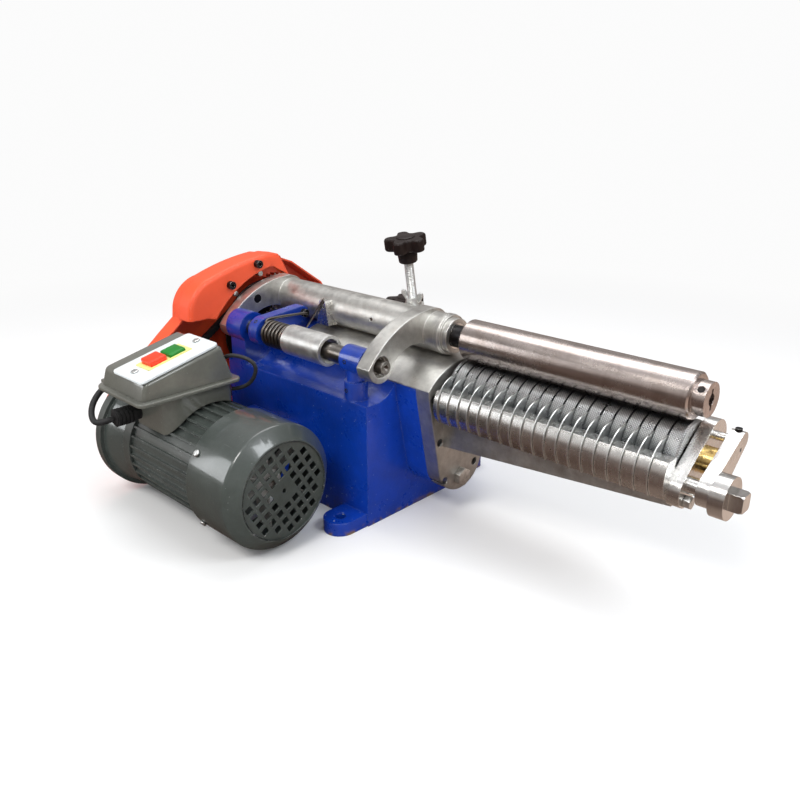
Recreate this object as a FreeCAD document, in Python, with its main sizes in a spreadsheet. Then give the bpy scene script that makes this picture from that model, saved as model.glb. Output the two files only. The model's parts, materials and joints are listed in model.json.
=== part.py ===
import FreeCAD, Part
import Sketcher
import os
import re
from math import asin, atan2, cos, degrees, hypot, pi, sin, sqrt

# Motor-driven twin-roller coating head.
# Frame: origin on the floor at the centre of the four foot bolts, +Z up, the rollers point
# along +X and the motor stands on the -Y side of the bed. Millimetres.

Vector = FreeCAD.Vector
Rotation = FreeCAD.Rotation
Placement = FreeCAD.Placement

doc = FreeCAD.newDocument("RollerCoaterHead")
sheet = doc.addObject("Spreadsheet::Sheet", "Dims")

DIMENSIONS = (
    # bed casting
    ("bed_length", 225, "bed along X"),
    ("bed_width", 165, "bed along Y"),
    ("bed_height", 130, "bed top above the floor"),
    ("bed_wall", 9, "wall and top thickness of the hollow bed"),
    ("foot_hole_x", 94, "foot bolt from the centre, along X"),
    ("foot_hole_y", 104, "foot bolt from the centre, along Y"),
    ("foot_thick", 14, "thickness of a foot lug"),
    ("foot_round", 17, "radius of the end of a front foot lug"),
    ("rear_foot_round", 12.5, "radius of the end of a rear foot lug"),
    ("foot_hole", 5.5, "radius of a foot bolt hole"),
    ("neck_length", 28, "neck that carries the spindle flange"),
    # spindle housing
    ("spindle_y", 7.5, "roller axes along Y"),
    ("spindle_z", 139.5, "lower roller axis above the floor"),
    ("saddle_top", 29, "top of the housing above the spindle axis"),
    ("saddle_side", 7, "start of the rounded top above the spindle axis"),
    ("saddle_half", 51, "half width of the housing at the axis"),
    ("shoulder_run", 24, "fillet of the bed beside the housing, along Y"),
    ("housing_start", -48, "left end of the housing, the bed carries the rear bearing"),
    ("barrel_radius", 26, "bearing barrel below the housing"),
    ("housing_bore", 16, "clearance bore around the spindle"),
    ("flange_thick", 17, "spindle flange"),
    ("flange_toe_z", 61, "centre of the flange's rounded toe"),
    ("flange_toe", 34, "radius of the flange's toe"),
    ("tapped_hole", 4.2, "tapped holes in the flange"),
    ("flange_bolt_z", 42, "flange bolt above the floor"),
    ("flange_bolt_y", 6.5, "flange bolt along Y"),
    ("flange_bolt_radius", 5, "flange bolt"),
    ("flange_bolt_head", 9.8, "corner radius of the bolt head"),
    ("flange_bolt_head_high", 7, "height of the bolt head"),
    # bearings and spindle
    ("bearing_outer", 21, "outer radius of a spindle bearing"),
    ("bearing_width", 12, "width of a spindle bearing"),
    ("spindle_radius", 10, "drive spindle"),
    ("running_gap", 0.05, "radial clearance of a running fit"),
    ("seat_gap", 0.02, "radial clearance of a fixed fit"),
    # rollers
    ("lower_radius", 29.5, "lower roller"),
    ("upper_radius", 20, "upper roller"),
    ("roller_gap", 0.5, "gap between the rollers at rest"),
    ("lower_start", 160.5, "left end of the lower roller"),
    ("lower_end", 394.5, "right end of the lower roller"),
    ("upper_start", 162.5, "left end of the upper roller"),
    ("upper_end", 393.5, "right end of the upper roller"),
    ("roller_chamfer", 1.5, "chamfer on the roller ends"),
    ("journal_radius", 8, "roller journals and upper shaft"),
    ("journal_end", 416, "right end of the lower journal"),
    ("boss_radius", 14.5, "end boss of the upper roller"),
    ("boss_end", 404, "right end of the upper roller's boss"),
    ("collar_radius", 11, "collar between arm and upper roller"),
    # fins and guide bar
    ("fin_first", 166.2, "first stripper fin along X"),
    ("fin_pitch", 12, "pitch of the fins"),
    ("fin_thick", 1, "thickness of a fin"),
    ("fin_slot", 1.6, "slot for a fin in the guide bar"),
    ("groove_width", 1.8, "groove for a fin in the lower roller"),
    ("groove_depth", 2.2, "depth of the roller grooves"),
    ("fin_arc", 28, "outer arc of a fin"),
    ("fin_arc_y", -22, "arc centre from the roller axis, along Y"),
    ("fin_arc_z", -7.5, "arc centre from the roller axis, along Z"),
    ("fin_band", 6, "width of a fin below its beak"),
    ("bar_inset", 1.5, "guide bar below the fin edge"),
    ("bar_gap", 1.5, "gap between guide bar and roller"),
    ("bar_top", 8, "top of the guide bar above the roller axis"),
    ("bar_bottom", -24, "bottom of the guide bar from the roller axis"),
    ("beam_low", 83.5, "underside of the support beam at the flange"),
    ("beam_end_low", 104.6, "underside of the support beam at its right end"),
    ("beam_front", -21.5, "front face of the support beam"),
    ("beam_depth", 42, "support beam along Y"),
    # outboard end
    ("plate_thick", 11, "outboard bearing plate"),
    ("toe_y", -21.5, "lower lobe of the bearing plate, Y"),
    ("toe_z", 122, "lower lobe of the bearing plate, Z"),
    ("toe_radius", 14, "lower lobe radius"),
    ("heel_y", 24.5, "upper lobe of the bearing plate, Y"),
    ("heel_z", 150.5, "upper lobe of the bearing plate, Z"),
    ("heel_radius", 18, "upper lobe radius"),
    ("bush_radius", 11.5, "brass bush"),
    ("bush_length", 11, "bush outside the plate"),
    ("link_thick", 11, "outboard link"),
    ("link_toe_y", -20.5, "lower lobe of the link, Y"),
    ("link_toe_z", 127.5, "lower lobe of the link, Z"),
    ("link_heel_y", 22, "upper lobe of the link, Y"),
    ("link_heel_z", 157.5, "upper lobe of the link, Z"),
    ("link_heel", 7.5, "upper lobe radius of the link"),
    ("link_screw", 2.8, "set screw in the link"),
    ("cam_radius", 6, "shaft of the adjusting spindle"),
    ("cam_collar", 17.5, "collar of the adjusting spindle"),
    ("cam_square", 14, "across flats of the square head"),
    ("cam_step", 12, "length of the collar"),
    ("cam_head", 10.5, "length of the square head"),
    ("plate_screw", 4.3, "head of the bearing plate's socket screw"),
    ("plate_nut", 5.5, "corner radius of the hexagon on the bearing plate's lower lobe"),
    ("pin_radius", 3.8, "tie pin"),
    ("pin_y", 23, "tie pin along Y"),
    ("pin_z", 155.5, "tie pin above the floor"),
    # hinge line
    ("hinge_y", -70.5, "hinge axis along Y"),
    ("hinge_z", 170, "hinge axis above the floor"),
    ("hinge_radius", 9, "hinge shaft"),
    ("hinge_tip", 6.5, "reduced right end of the hinge shaft"),
    ("hinge_start", -121, "left end of the hinge shaft"),
    ("hinge_step", 115, "where the hinge shaft is reduced"),
    ("hinge_end", 127, "right end of the hinge shaft"),
    ("rear_boss", 17.5, "radius of the rear hinge boss"),
    ("rear_boss_start", -105, "left face of the rear hinge boss"),
    ("rear_boss_length", 26, "length of the rear hinge boss"),
    ("front_boss", 13.5, "radius of the front hinge boss"),
    ("front_boss_start", 75.5, "left face of the front hinge boss"),
    ("front_boss_length", 28, "length of the front hinge boss"),
    ("post_x", 86, "post under the front hinge boss, along X"),
    ("post_radius", 12, "post under the front hinge boss"),
    ("post_top", 149, "shoulder of the post above the floor"),
    ("stem_radius", 9.5, "stem between post and boss"),
    ("sleeve_radius", 16, "spring sleeve"),
    ("sleeve_start", -11.5, "left end of the spring sleeve"),
    ("sleeve_end", 48, "right end of the spring sleeve"),
    ("sleeve_mouth", 12.5, "open mouth of the spring sleeve"),
    ("sleeve_mouth_depth", 10, "depth of the mouth"),
    ("lever_start", -66.5, "left face of the spring lever"),
    ("lever_thick", 14, "thickness of the spring lever"),
    ("lever_radius", 16, "collar of the spring lever"),
    ("lever_tip", 7.5, "tip radius of the spring lever"),
    ("lever_screw", 2.5, "screw in the lever's tip"),
    ("lever_screw_head", 4.5, "head of the lever's screw"),
    ("lever_tip_y", -20, "lever tip along Y"),
    ("lever_tip_z", 182.5, "lever tip above the floor"),
    ("coil_radius", 12.8, "mean radius of the torsion spring"),
    ("coil_pitch", 5.8, "pitch of the spring"),
    ("wire_radius", 1.7, "spring wire"),
    # arm
    ("tube_bore", 13, "bore of the arm tube"),
    ("tube_start", -119, "left end of the arm"),
    ("tube_end", 142.5, "right end of the arm tube"),
    ("nose_radius", 17.5, "stepped nose of the tube"),
    ("nose_length", 6, "length of the nose"),
    ("lug_round", 16.5, "radius of the arm lugs at the hinge"),
    ("lug_crown", 113, "arc of the lug's back"),
    ("lug_throat", 42, "arc of the lug's hollow side"),
    ("rear_lug_thick", 13.5, "rear arm lug"),
    ("front_lug_start", 104.2, "front arm lug along X"),
    ("front_lug_thick", 16.8, "front arm lug"),
    ("wedge_x", -21, "prop bracket along X"),
    ("wedge_half", 9.5, "half width of the bracket's foot"),
    ("wedge_low", 174, "underside of the bracket"),
    ("wedge_high", 201, "top of the bracket"),
    ("wedge_front", -19, "front face of the bracket"),
    ("plug_y", -42.5, "plug in the rear lug, along Y"),
    ("plug_z", 193.5, "plug in the rear lug, above the floor"),
    ("plug_radius", 5, "plug in the rear lug"),
    # gap adjuster, its own frame stands on the rod's tip
    ("rod_x", 72.5, "adjuster along X"),
    ("rod_tip_y", 33.1, "adjuster tip along Y"),
    ("rod_tip_z", 167.8, "adjuster tip above the floor"),
    ("rod_tilt", 10, "adjuster leans towards the hinge, degrees"),
    ("rod_radius", 5, "adjuster rod"),
    ("stop_pad", 8, "stop pad under the adjuster's tip"),
    ("ear_low", 12, "underside of the adjuster ear"),
    ("ear_high", 38, "top of the adjuster ear"),
    ("ear_radius", 11, "adjuster ear"),
    ("nut_height", 8, "hub of the wing nut"),
    ("nut_reach", 15, "wings of the wing nut from its axis"),
    ("nut_wing_high", 14, "tips of the wings above the seat"),
    ("nut_wing_thick", 3, "thickness of a wing"),
    ("knob_low", 84.5, "underside of the knob hub"),
    ("knob_hub", 10, "knob hub radius"),
    ("knob_hub_height", 13, "knob hub height"),
    ("knob_height", 13, "star height"),
    ("knob_core", 14.5, "core radius of the star"),
    ("knob_lobe", 7, "lobe radius of the star"),
    ("knob_lobe_at", 15.5, "lobe centres of the star"),
    ("stud_x", 22, "rear stud along X"),
    ("stud_y", 68, "rear stud along Y"),
    ("stud_radius", 5, "rear stud"),
    ("rear_knob_low", 40.5, "underside of the rear knob above the bed"),
    # motor
    ("motor_y", -172.5, "motor axis along Y"),
    ("motor_z", 68.2, "motor axis above the floor"),
    ("cowl_radius", 62, "fan cowl"),
    ("cowl_back", 28, "left rim of the cowl along X"),
    ("cowl_face", 84.5, "where the cowl's chamfer starts"),
    ("cowl_front", 96.5, "grille ring"),
    ("grille_radius", 49, "grille ring radius"),
    ("sheet_metal", 1.5, "pressed sheet thickness"),
    ("stator_start", -82.5, "left end of the finned body"),
    ("stator_end", 26, "right end of the finned body"),
    ("stator_radius", 55, "body radius below the fins"),
    ("stator_fin", 58, "radius over the fins"),
    ("bell_radius", 66, "flange of the end bell"),
    ("bell_start", -137.5, "left face of the end bell"),
    ("bell_flange", 10, "flange thickness of the end bell"),
    ("motor_shaft", 7, "motor shaft radius"),
    ("shaft_end", 74, "right end of the motor shaft"),
    ("fan_start", 51, "left edge of the fan vanes"),
    ("cradle_left", -70, "left side of the motor bracket"),
    ("cradle_right", 10, "right side of the motor bracket"),
    ("cradle_low", 30, "underside of the motor bracket"),
    ("cradle_high", 85, "top of the motor bracket"),
    ("motor_pulley", 20, "motor pulley radius"),
    ("main_pulley", 60, "main pulley radius"),
    ("belt_x", -153.5, "middle plane of the belt"),
    ("pulley_width", 15, "width of both pulleys"),
    ("belt_width", 10, "V belt"),
    ("belt_height", 7, "V belt"),
    # gears
    ("gear_module", 2, "module of the roller gears"),
    ("gear_start", -144, "left face of the gears"),
    ("gear_width", 8, "face width"),
    # switch box
    ("box_left", -90, "switch body, left"),
    ("box_right", -12, "switch body, right"),
    ("box_front", -246, "switch body, front"),
    ("box_back", -145, "switch body, back"),
    ("box_floor", 147, "top of the lip"),
    ("lip_thick", 4, "lip under the switch body"),
    ("lip_margin", 6, "lip beyond the body"),
    ("neck_low", 98, "lowest plane of the box's neck, inside the motor body"),
    ("neck_left", -80, "neck, left side"),
    ("neck_right", -13, "neck, right side"),
    ("neck_front", -220, "neck, front"),
    ("neck_back", -147, "neck, back"),
    ("neck_round", 16, "rounded front right corner of the neck"),
    ("gland_x", -73, "cable gland along X"),
    ("gland_z", 115, "cable gland above the floor"),
    ("box_low", 164, "front edge of the sloping top"),
    ("box_high", 183, "back edge of the sloping top"),
    ("top_inset", 5, "sloping top behind the front edge of the body"),
    ("back_inset", 12, "sloping top before the back edge of the body"),
    ("cover_thick", 3, "cover plate"),
    ("cover_left", -66, "left edge of the cover plate"),
    ("cover_right", -13, "right edge of the cover plate"),
    ("cover_length", 88, "cover plate along the slope"),
    ("bezel_width", 24, "bezel along X"),
    ("bezel_depth", 8, "bezel below the sloping top"),
    ("bezel_low", 14, "lower end of the bezel along the slope"),
    ("bezel_high", 63, "upper end of the bezel along the slope"),
    ("button_width", 19, "push button along X"),
    ("button_length", 18, "push button along the slope"),
    ("button_fit", 0.1, "gap around a push button"),
    # belt guard
    ("guard_face", -122.5, "front face of the guard"),
    ("guard_seam", -145.6, "rear edge of the upper guard"),
    ("guard_back", -166, "back of the guard"),
    ("guard_wall", 2, "guard sheet"),
    ("guard_nest", 2.5, "the lower guard sits inside the upper one by this much"),
    ("tray_seam", -141, "front edge of the lower guard"),
    ("guard_post", 4.5, "spacer posts of the guard"),
    ("guard_pin", 3, "pins under the arched edge of the guard"),
    ("guard_spacer", 2.4, "spacers behind the guard screws"),
)

ALIASES = {name for name, value, note in DIMENSIONS}
for row, (name, value, note) in enumerate(DIMENSIONS, 1):
    sheet.set(f"A{row}", name)
    sheet.set(f"B{row}", str(value))
    sheet.set(f"C{row}", note)
    sheet.setAlias(f"B{row}", name)
doc.recompute()

# Positions that follow from the driving dimensions, as formulas of the sheet's names
BED_RIGHT = "bed_length / 2"
BED_BACK = "bed_width / 2"
FLANGE_BACK = "bed_length / 2 + neck_length"
FLANGE_FACE = "bed_length / 2 + neck_length + flange_thick"
UPPER_Z = "(spindle_z + lower_radius + upper_radius + roller_gap)"
PLATE_LEFT = "lower_end + 1"
PLATE_RIGHT = "lower_end + 1 + plate_thick"
LINK_LEFT = "lower_end + 1 + plate_thick + bush_length"
LINK_RIGHT = "lower_end + 1 + plate_thick + bush_length + link_thick"
CROWN = "((saddle_half ^ 2 + (saddle_top - saddle_side) ^ 2) / (2 * (saddle_top - saddle_side)))"
SADDLE_Z = "(spindle_z + saddle_side)"
SADDLE_SEAT = "(spindle_z + saddle_side - 1)"
FRONT_LUG_FACE = "(front_lug_start + front_lug_thick)"
REAR_LUG_FACE = "(tube_start + rear_lug_thick)"
FIN_COUNT = 19
LOBES = 5

ALONG = {
    "X": Rotation(Vector(0, 1, 0), 90),
    "Y": Rotation(Vector(1, 0, 0), -90),
    "Z": Rotation(),
}


def link(formula):
    """A formula in the sheet's own names, written out for setExpression."""
    def full(match):
        word = match.group(0)
        return "Dims." + word if word in ALIASES else word
    return re.sub(r"[a-z_]+", full, str(formula))


def value(formula):
    """The number that a formula has now."""
    return float(sheet.evalExpression(link(formula)))


def bind(thing, prop, formula):
    thing.setExpression(prop, link(formula))


def place(thing, x, y, z, rotation=None):
    thing.Placement = Placement(Vector(value(x), value(y), value(z)), rotation or Rotation())
    for axis, formula in (("x", x), ("y", y), ("z", z)):
        bind(thing, "Placement.Base." + axis, formula)
    return thing


def box(name, x_range, y_range, z_range):
    """A block between two planes on each axis."""
    block = doc.addObject("Part::Box", name)
    for prop, (low, high) in zip(("Length", "Width", "Height"), (x_range, y_range, z_range)):
        bind(block, prop, f"({high}) - ({low})")
    return place(block, x_range[0], y_range[0], z_range[0])


def rod(name, radius, x_range, y, z):
    """A cylinder along X."""
    body = doc.addObject("Part::Cylinder", name)
    bind(body, "Radius", radius)
    bind(body, "Height", f"({x_range[1]}) - ({x_range[0]})")
    return place(body, x_range[0], y, z, ALONG["X"])


def post(name, radius, x, y, z_range):
    """A cylinder along Z."""
    body = doc.addObject("Part::Cylinder", name)
    bind(body, "Radius", radius)
    bind(body, "Height", f"({z_range[1]}) - ({z_range[0]})")
    return place(body, x, y, z_range[0])


def cross(name, radius, x, y_range, z):
    """A cylinder along Y."""
    body = doc.addObject("Part::Cylinder", name)
    bind(body, "Radius", radius)
    bind(body, "Height", f"({y_range[1]}) - ({y_range[0]})")
    return place(body, x, y_range[0], z, ALONG["Y"])


def cone(name, radii, x_range, y, z):
    """A cone along X."""
    body = doc.addObject("Part::Cone", name)
    bind(body, "Radius1", radii[0])
    bind(body, "Radius2", radii[1])
    bind(body, "Height", f"({x_range[1]}) - ({x_range[0]})")
    return place(body, x_range[0], y, z, ALONG["X"])


def prism(name, sides, radius, x_range, y, z):
    """A regular prism along X, such as a bolt head; radius is to the corners."""
    body = doc.addObject("Part::Prism", name)
    body.Polygon = sides
    bind(body, "Circumradius", radius)
    bind(body, "Height", f"({x_range[1]}) - ({x_range[0]})")
    return place(body, x_range[0], y, z, ALONG["X"])


def fuse(name, parts):
    union = doc.addObject("Part::MultiFuse", name)
    union.Shapes = parts
    return union


def cut(name, base, tools):
    result = doc.addObject("Part::Cut", name)
    result.Base = base
    result.Tool = tools[0] if len(tools) == 1 else fuse(name + "_tools", tools)
    return result


def common(name, first, second):
    result = doc.addObject("Part::Common", name)
    result.Base = first
    result.Tool = second
    return result


def group(name, parts):
    """Equal loose pieces kept together in one node."""
    result = doc.addObject("Part::Compound", name)
    result.Links = parts
    return result


def finish(name, last):
    """Give the finished sub-part the label that names its node."""
    last.Label = name
    return last


def outline(sketch, corners):
    """Draw a closed outline and tie every corner to the sheet.

    A corner is (across, up) or (across, up, radius). With a radius the edge that leaves the
    corner is an arc: it bulges to the right of travel, or to the left if the radius is negative.
    """
    points = [Vector(value(corner[0]), value(corner[1]), 0) for corner in corners]
    ends = []
    first = len(sketch.Geometry)
    for i, corner in enumerate(corners):
        start, stop = points[i], points[(i + 1) % len(points)]
        if len(corner) == 2:
            sketch.addGeometry(Part.LineSegment(start, stop))
            ends.append((1, 2))
            continue
        radius = value(corner[2])
        chord = stop - start
        side = Vector(chord.y, -chord.x, 0).normalize() * (1 if radius > 0 else -1)
        depth = sqrt(max(radius ** 2 - (chord.Length / 2) ** 2, 0))
        centre = (start + stop) / 2 - side * depth
        angles = [atan2(end.y - centre.y, end.x - centre.x) for end in (start, stop)]
        if radius < 0:
            angles.reverse()
        circle = Part.Circle(centre, Vector(0, 0, 1), abs(radius))
        sketch.addGeometry(Part.ArcOfCircle(circle, *angles))
        ends.append((1, 2) if radius > 0 else (2, 1))
        row = sketch.addConstraint(Sketcher.Constraint("Radius", first + i, abs(radius)))
        bind(sketch, f"Constraints[{row}]", f"abs({corner[2]})")
    for i, corner in enumerate(corners):
        after = (i + 1) % len(corners)
        join = Sketcher.Constraint("Coincident", first + i, ends[i][1], first + after, ends[after][0])
        sketch.addConstraint(join)
        for kind, formula in (("DistanceX", corner[0]), ("DistanceY", corner[1])):
            size = Sketcher.Constraint(kind, -1, 1, first + i, ends[i][0], value(formula))
            row = sketch.addConstraint(size)
            bind(sketch, f"Constraints[{row}]", formula)


def profile(name, plane, corners, start, length):
    """A body with one pad: an outline on a plane, pushed out from start by length."""
    body = doc.addObject("PartDesign::Body", name + "_body")
    sketch = body.newObject("Sketcher::SketchObject", name + "_outline")
    face = next(item for item in body.Origin.OriginFeatures if item.Role == plane + "_Plane")
    sketch.AttachmentSupport = [(face, "")]
    sketch.MapMode = "FlatFace"
    away = plane == "XZ"
    bind(sketch, "AttachmentOffset.Base.z", f"-({start})" if away else start)
    outline(sketch, corners)
    pad = body.newObject("PartDesign::Pad", name + "_pad")
    pad.Profile = sketch
    pad.Reversed = away
    bind(pad, "Length", length)
    body.Tip = pad
    return body


def pear(low_y, low_z, low_radius, high_y, high_z, high_radius):
    """Corners of the band around two circles: a link or lever seen along X."""
    y1, z1, r1 = value(low_y), value(low_z), value(low_radius)
    y2, z2, r2 = value(high_y), value(high_z), value(high_radius)
    span = hypot(y2 - y1, z2 - z1)
    lean = degrees(atan2(z2 - z1, y2 - y1))
    spread = degrees(asin((r1 - r2) / span))
    right, left = lean - 90 + spread, lean + 90 - spread

    def rim(y, z, radius, angle):
        across = f"({y}) + ({radius}) * cos({angle:.6f} deg)"
        up = f"({z}) + ({radius}) * sin({angle:.6f} deg)"
        return (across, up)

    return [
        rim(low_y, low_z, low_radius, right),
        rim(high_y, high_z, high_radius, right) + (high_radius,),
        rim(high_y, high_z, high_radius, lean) + (high_radius,),
        rim(high_y, high_z, high_radius, left),
        rim(low_y, low_z, low_radius, left) + (low_radius,),
        rim(low_y, low_z, low_radius, lean + 180) + (low_radius,),
    ]


def leaning(name, radius, low, high, origin, lean, across=0.0, turn=0.0):
    """A cylinder on a leaning axis: low and high run along the axis from its origin."""
    body = doc.addObject("Part::Cylinder", name)
    bind(body, "Radius", radius)
    bind(body, "Height", f"({high}) - ({low})")
    foot = lean.multVec(Vector(across * cos(turn), across * sin(turn), value(low)))
    x, y, z = (f"({start}) + {step:.6f}" for start, step in zip(origin, foot))
    return place(body, x, y, z, lean)


ROD_TIP = ("rod_x", "rod_tip_y", "rod_tip_z")
ROD_LEAN = Rotation(Vector(1, 0, 0), value("rod_tilt"))


def on_rod(name, radius, low, high):
    """A cylinder on the gap adjuster's axis."""
    return leaning(name, radius, low, high, ROD_TIP, ROD_LEAN)


# ---- bed and spindle housing ------------------------------------------------------------

# Tapped holes in the flange's face, along Y and above the floor
TAPPED_HOLES = (("-36", "137"), ("-26", "88.6"), ("-17", "43.5"), ("29.7", "50"))


def flange_corners():
    """Flange outline: rounded top, straight cheeks, round toe."""
    toe = pear("spindle_y", "flange_toe_z", "flange_toe", "spindle_y", SADDLE_Z, "saddle_half")
    right_toe, right_cheek, left_cheek, left_toe, bottom = toe[0], toe[1], toe[3], toe[4], toe[5]
    return [
        right_toe,
        (right_cheek[0], right_cheek[1]),
        ("spindle_y + saddle_half", SADDLE_Z, CROWN),
        ("spindle_y - saddle_half", SADDLE_Z),
        left_cheek,
        left_toe,
        bottom,
    ]


def saddle(name, low, start, length):
    """Round-topped block around the spindle, from low upwards."""
    return profile(name, "YZ", [
        ("spindle_y - saddle_half", low),
        ("spindle_y + saddle_half", low),
        ("spindle_y + saddle_half", SADDLE_Z, CROWN),
        ("spindle_y - saddle_half", SADDLE_Z),
    ], start, length)


def shoulder(name, side, length):
    """Hollow fillet from the bed's top up to the seat of the housing; side is -1 or 1."""
    inner = f"spindle_y + {side} * (saddle_half - 1)"
    edge = f"spindle_y + {side} * saddle_half"
    outer = f"spindle_y + {side} * (saddle_half + shoulder_run)"
    below = "bed_height - 1"
    if side < 0:
        corners = [
            (outer, below),
            (inner, below),
            (inner, SADDLE_SEAT),
            (edge, SADDLE_SEAT, "-1.3 * shoulder_run"),
            (outer, "bed_height"),
        ]
    else:
        corners = [
            (outer, below),
            (outer, "bed_height", "-1.3 * shoulder_run"),
            (edge, SADDLE_SEAT),
            (inner, SADDLE_SEAT),
            (inner, below),
        ]
    return profile(name, "YZ", corners, "-bed_length / 2", length)


def foot_places():
    """Centres of the four foot bolts and the radius of the lug around each."""
    return [("foot_hole_x", "-foot_hole_y", "foot_round"), ("-foot_hole_x", "-foot_hole_y", "foot_round"),
            ("foot_hole_x", "foot_hole_y", "rear_foot_round"),
            ("-foot_hole_x", "foot_hole_y", "rear_foot_round")]


def foot_lug(name, x, y, radius):
    """Round-ended lug on the floor and the web that joins it to the bed's wall."""
    side = 1 if value(y) > 0 else -1
    reach = sorted((y, f"{side} * (bed_width / 2 - bed_wall)"), key=value)
    pad = post(name + "_pad", radius, x, y, ("0", "foot_thick"))
    web = box(name + "_web", (f"{x} - {radius}", f"{x} + {radius}"), reach, ("0", "foot_thick"))
    return [pad, web]


def hinge_bosses():
    """The two bosses that hold the hinge shaft, on their cheek and post."""
    rear = ("rear_boss_start", "rear_boss_start + rear_boss_length")
    front = ("front_boss_start", "front_boss_start + front_boss_length")
    cheek = profile("rear_cheek", "YZ", [
        ("-bed_width / 2", "bed_height - 1"),
        ("hinge_y + 27", "bed_height - 1"),
        ("hinge_y + 12", "hinge_z - 12", -40),
        ("hinge_y + 8", "hinge_z"),
        ("hinge_y - 12", "hinge_z"),
    ], "rear_boss_start", "rear_boss_length")
    root = doc.addObject("Part::Cone", "post_root")
    bind(root, "Radius1", "post_radius / 2")
    bind(root, "Radius2", "post_radius")
    bind(root, "Height", "post_radius * 3")
    return [
        rod("rear_boss_ring", "rear_boss", rear, "hinge_y", "hinge_z"),
        cheek,
        rod("front_boss_ring", "front_boss", front, "hinge_y", "hinge_z"),
        post("front_stem", "stem_radius", "post_x", "hinge_y", ("post_top - 1", "hinge_z")),
        post("front_post", "post_radius", "post_x", "hinge_y", ("bed_height - 12", "post_top")),
        place(root, "post_x", "hinge_y", "bed_height - 12 - post_radius * 3"),
    ]


def bed_casting():
    slab = profile("bed_block", "XY", [
        ("-bed_length / 2", "-bed_width / 2"),
        ("bed_length / 2", "-bed_width / 2"),
        ("bed_length / 2", "bed_width / 2"),
        ("-bed_length / 2", "bed_width / 2"),
    ], "0", "bed_height")
    neck = profile("bed_neck", "YZ", flange_corners(), BED_RIGHT, "neck_length")
    neck_keep = box("bed_neck_keep", (BED_RIGHT, FLANGE_BACK),
                    ("-bed_width / 2", BED_BACK), ("0", SADDLE_SEAT))
    seat = box("saddle_seat", ("-bed_length / 2", BED_RIGHT),
               ("spindle_y - saddle_half", "spindle_y + saddle_half"), ("bed_height - 1", SADDLE_SEAT))
    pedestal = saddle("rear_pedestal", "bed_height", "-bed_length / 2", "housing_start + bed_length / 2")
    parts = [slab, common("bed_neck_cut", neck, neck_keep), seat, pedestal]
    parts += [shoulder("front_shoulder", -1, "bed_length"), shoulder("rear_shoulder", 1, "bed_length")]
    parts += hinge_bosses()
    for i, (x, y, radius) in enumerate(foot_places()):
        parts += foot_lug(f"foot_{i}", x, y, radius)
    tools = [
        box("bed_hollow", ("-bed_length / 2 + bed_wall", "bed_length / 2 - bed_wall"),
            ("-bed_width / 2 + bed_wall", "bed_width / 2 - bed_wall"), ("-1", "bed_height - bed_wall")),
        rod("bed_trough", "barrel_radius + 0.5", ("housing_start", FLANGE_BACK + " + 1"),
            "spindle_y", "spindle_z"),
        rod("pedestal_bore", "housing_bore", ("-bed_length / 2 - 1", "housing_start + 1"),
            "spindle_y", "spindle_z"),
        rod("rear_seat", "bearing_outer + seat_gap",
            ("-bed_length / 2 - 1", "-bed_length / 2 + bearing_width"), "spindle_y", "spindle_z"),
        rod("bed_hinge_bore", "hinge_radius + seat_gap",
            ("rear_boss_start - 1", "front_boss_start + front_boss_length + 1"), "hinge_y", "hinge_z"),
        rod("bed_bolt_hole", "flange_bolt_radius + seat_gap", (BED_RIGHT + " + 4", FLANGE_BACK + " + 1"),
            "flange_bolt_y", "flange_bolt_z"),
        post("stud_hole", "stud_radius + seat_gap", "stud_x", "stud_y", ("bed_height", SADDLE_Z)),
    ]
    for i, (x, y, radius) in enumerate(foot_places()):
        tools.append(post(f"foot_hole_{i}", "foot_hole", x, y, ("-1", "foot_thick + 1")))
    return finish("bed_casting", cut("bed_cut", fuse("bed_solid", parts), tools))


def spindle_housing():
    flange = profile("flange_plate", "YZ", flange_corners(), FLANGE_BACK, "flange_thick")
    top = saddle("housing_saddle", SADDLE_SEAT, "housing_start", f"{FLANGE_BACK} - (housing_start)")
    barrel = rod("barrel", "barrel_radius", ("housing_start", FLANGE_BACK), "spindle_y", "spindle_z")
    pad = on_rod("stop_pad_post", "stop_pad", "-2 * stop_pad", "-0.05")
    tools = [
        rod("housing_through", "housing_bore", ("housing_start - 1", FLANGE_FACE + " + 1"),
            "spindle_y", "spindle_z"),
        rod("front_seat", "bearing_outer + seat_gap",
            (FLANGE_FACE + " - bearing_width", FLANGE_FACE + " + 1"), "spindle_y", "spindle_z"),
        rod("flange_bolt_hole", "flange_bolt_radius + seat_gap",
            (FLANGE_BACK + " - 1", FLANGE_FACE + " + 1"), "flange_bolt_y", "flange_bolt_z"),
    ]
    for i, (y, z) in enumerate(TAPPED_HOLES):
        through = (FLANGE_BACK + " - 1", FLANGE_FACE + " + 1")
        tools.append(rod(f"tapped_{i}", "tapped_hole", through, y, z))
    solid = fuse("housing_solid", [flange, top, barrel, pad])
    return finish("spindle_housing", cut("housing_cut", solid, tools))


def flange_bolt():
    shank = rod("flange_bolt_shank", "flange_bolt_radius", (BED_RIGHT + " + 6", FLANGE_FACE),
                "flange_bolt_y", "flange_bolt_z")
    head = prism("flange_bolt_hexagon", 6, "flange_bolt_head",
                 (FLANGE_FACE, FLANGE_FACE + " + flange_bolt_head_high"), "flange_bolt_y", "flange_bolt_z")
    return finish("flange_bolt", fuse("flange_bolt_solid", [shank, head]))


def ring(name, outer, inner, x_range, y, z):
    """A plain ring along X."""
    hole = (f"({x_range[0]}) - 1", f"({x_range[1]}) + 1")
    return cut(name, rod(name + "_outer", outer, x_range, y, z), [rod(name + "_inner", inner, hole, y, z)])


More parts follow.
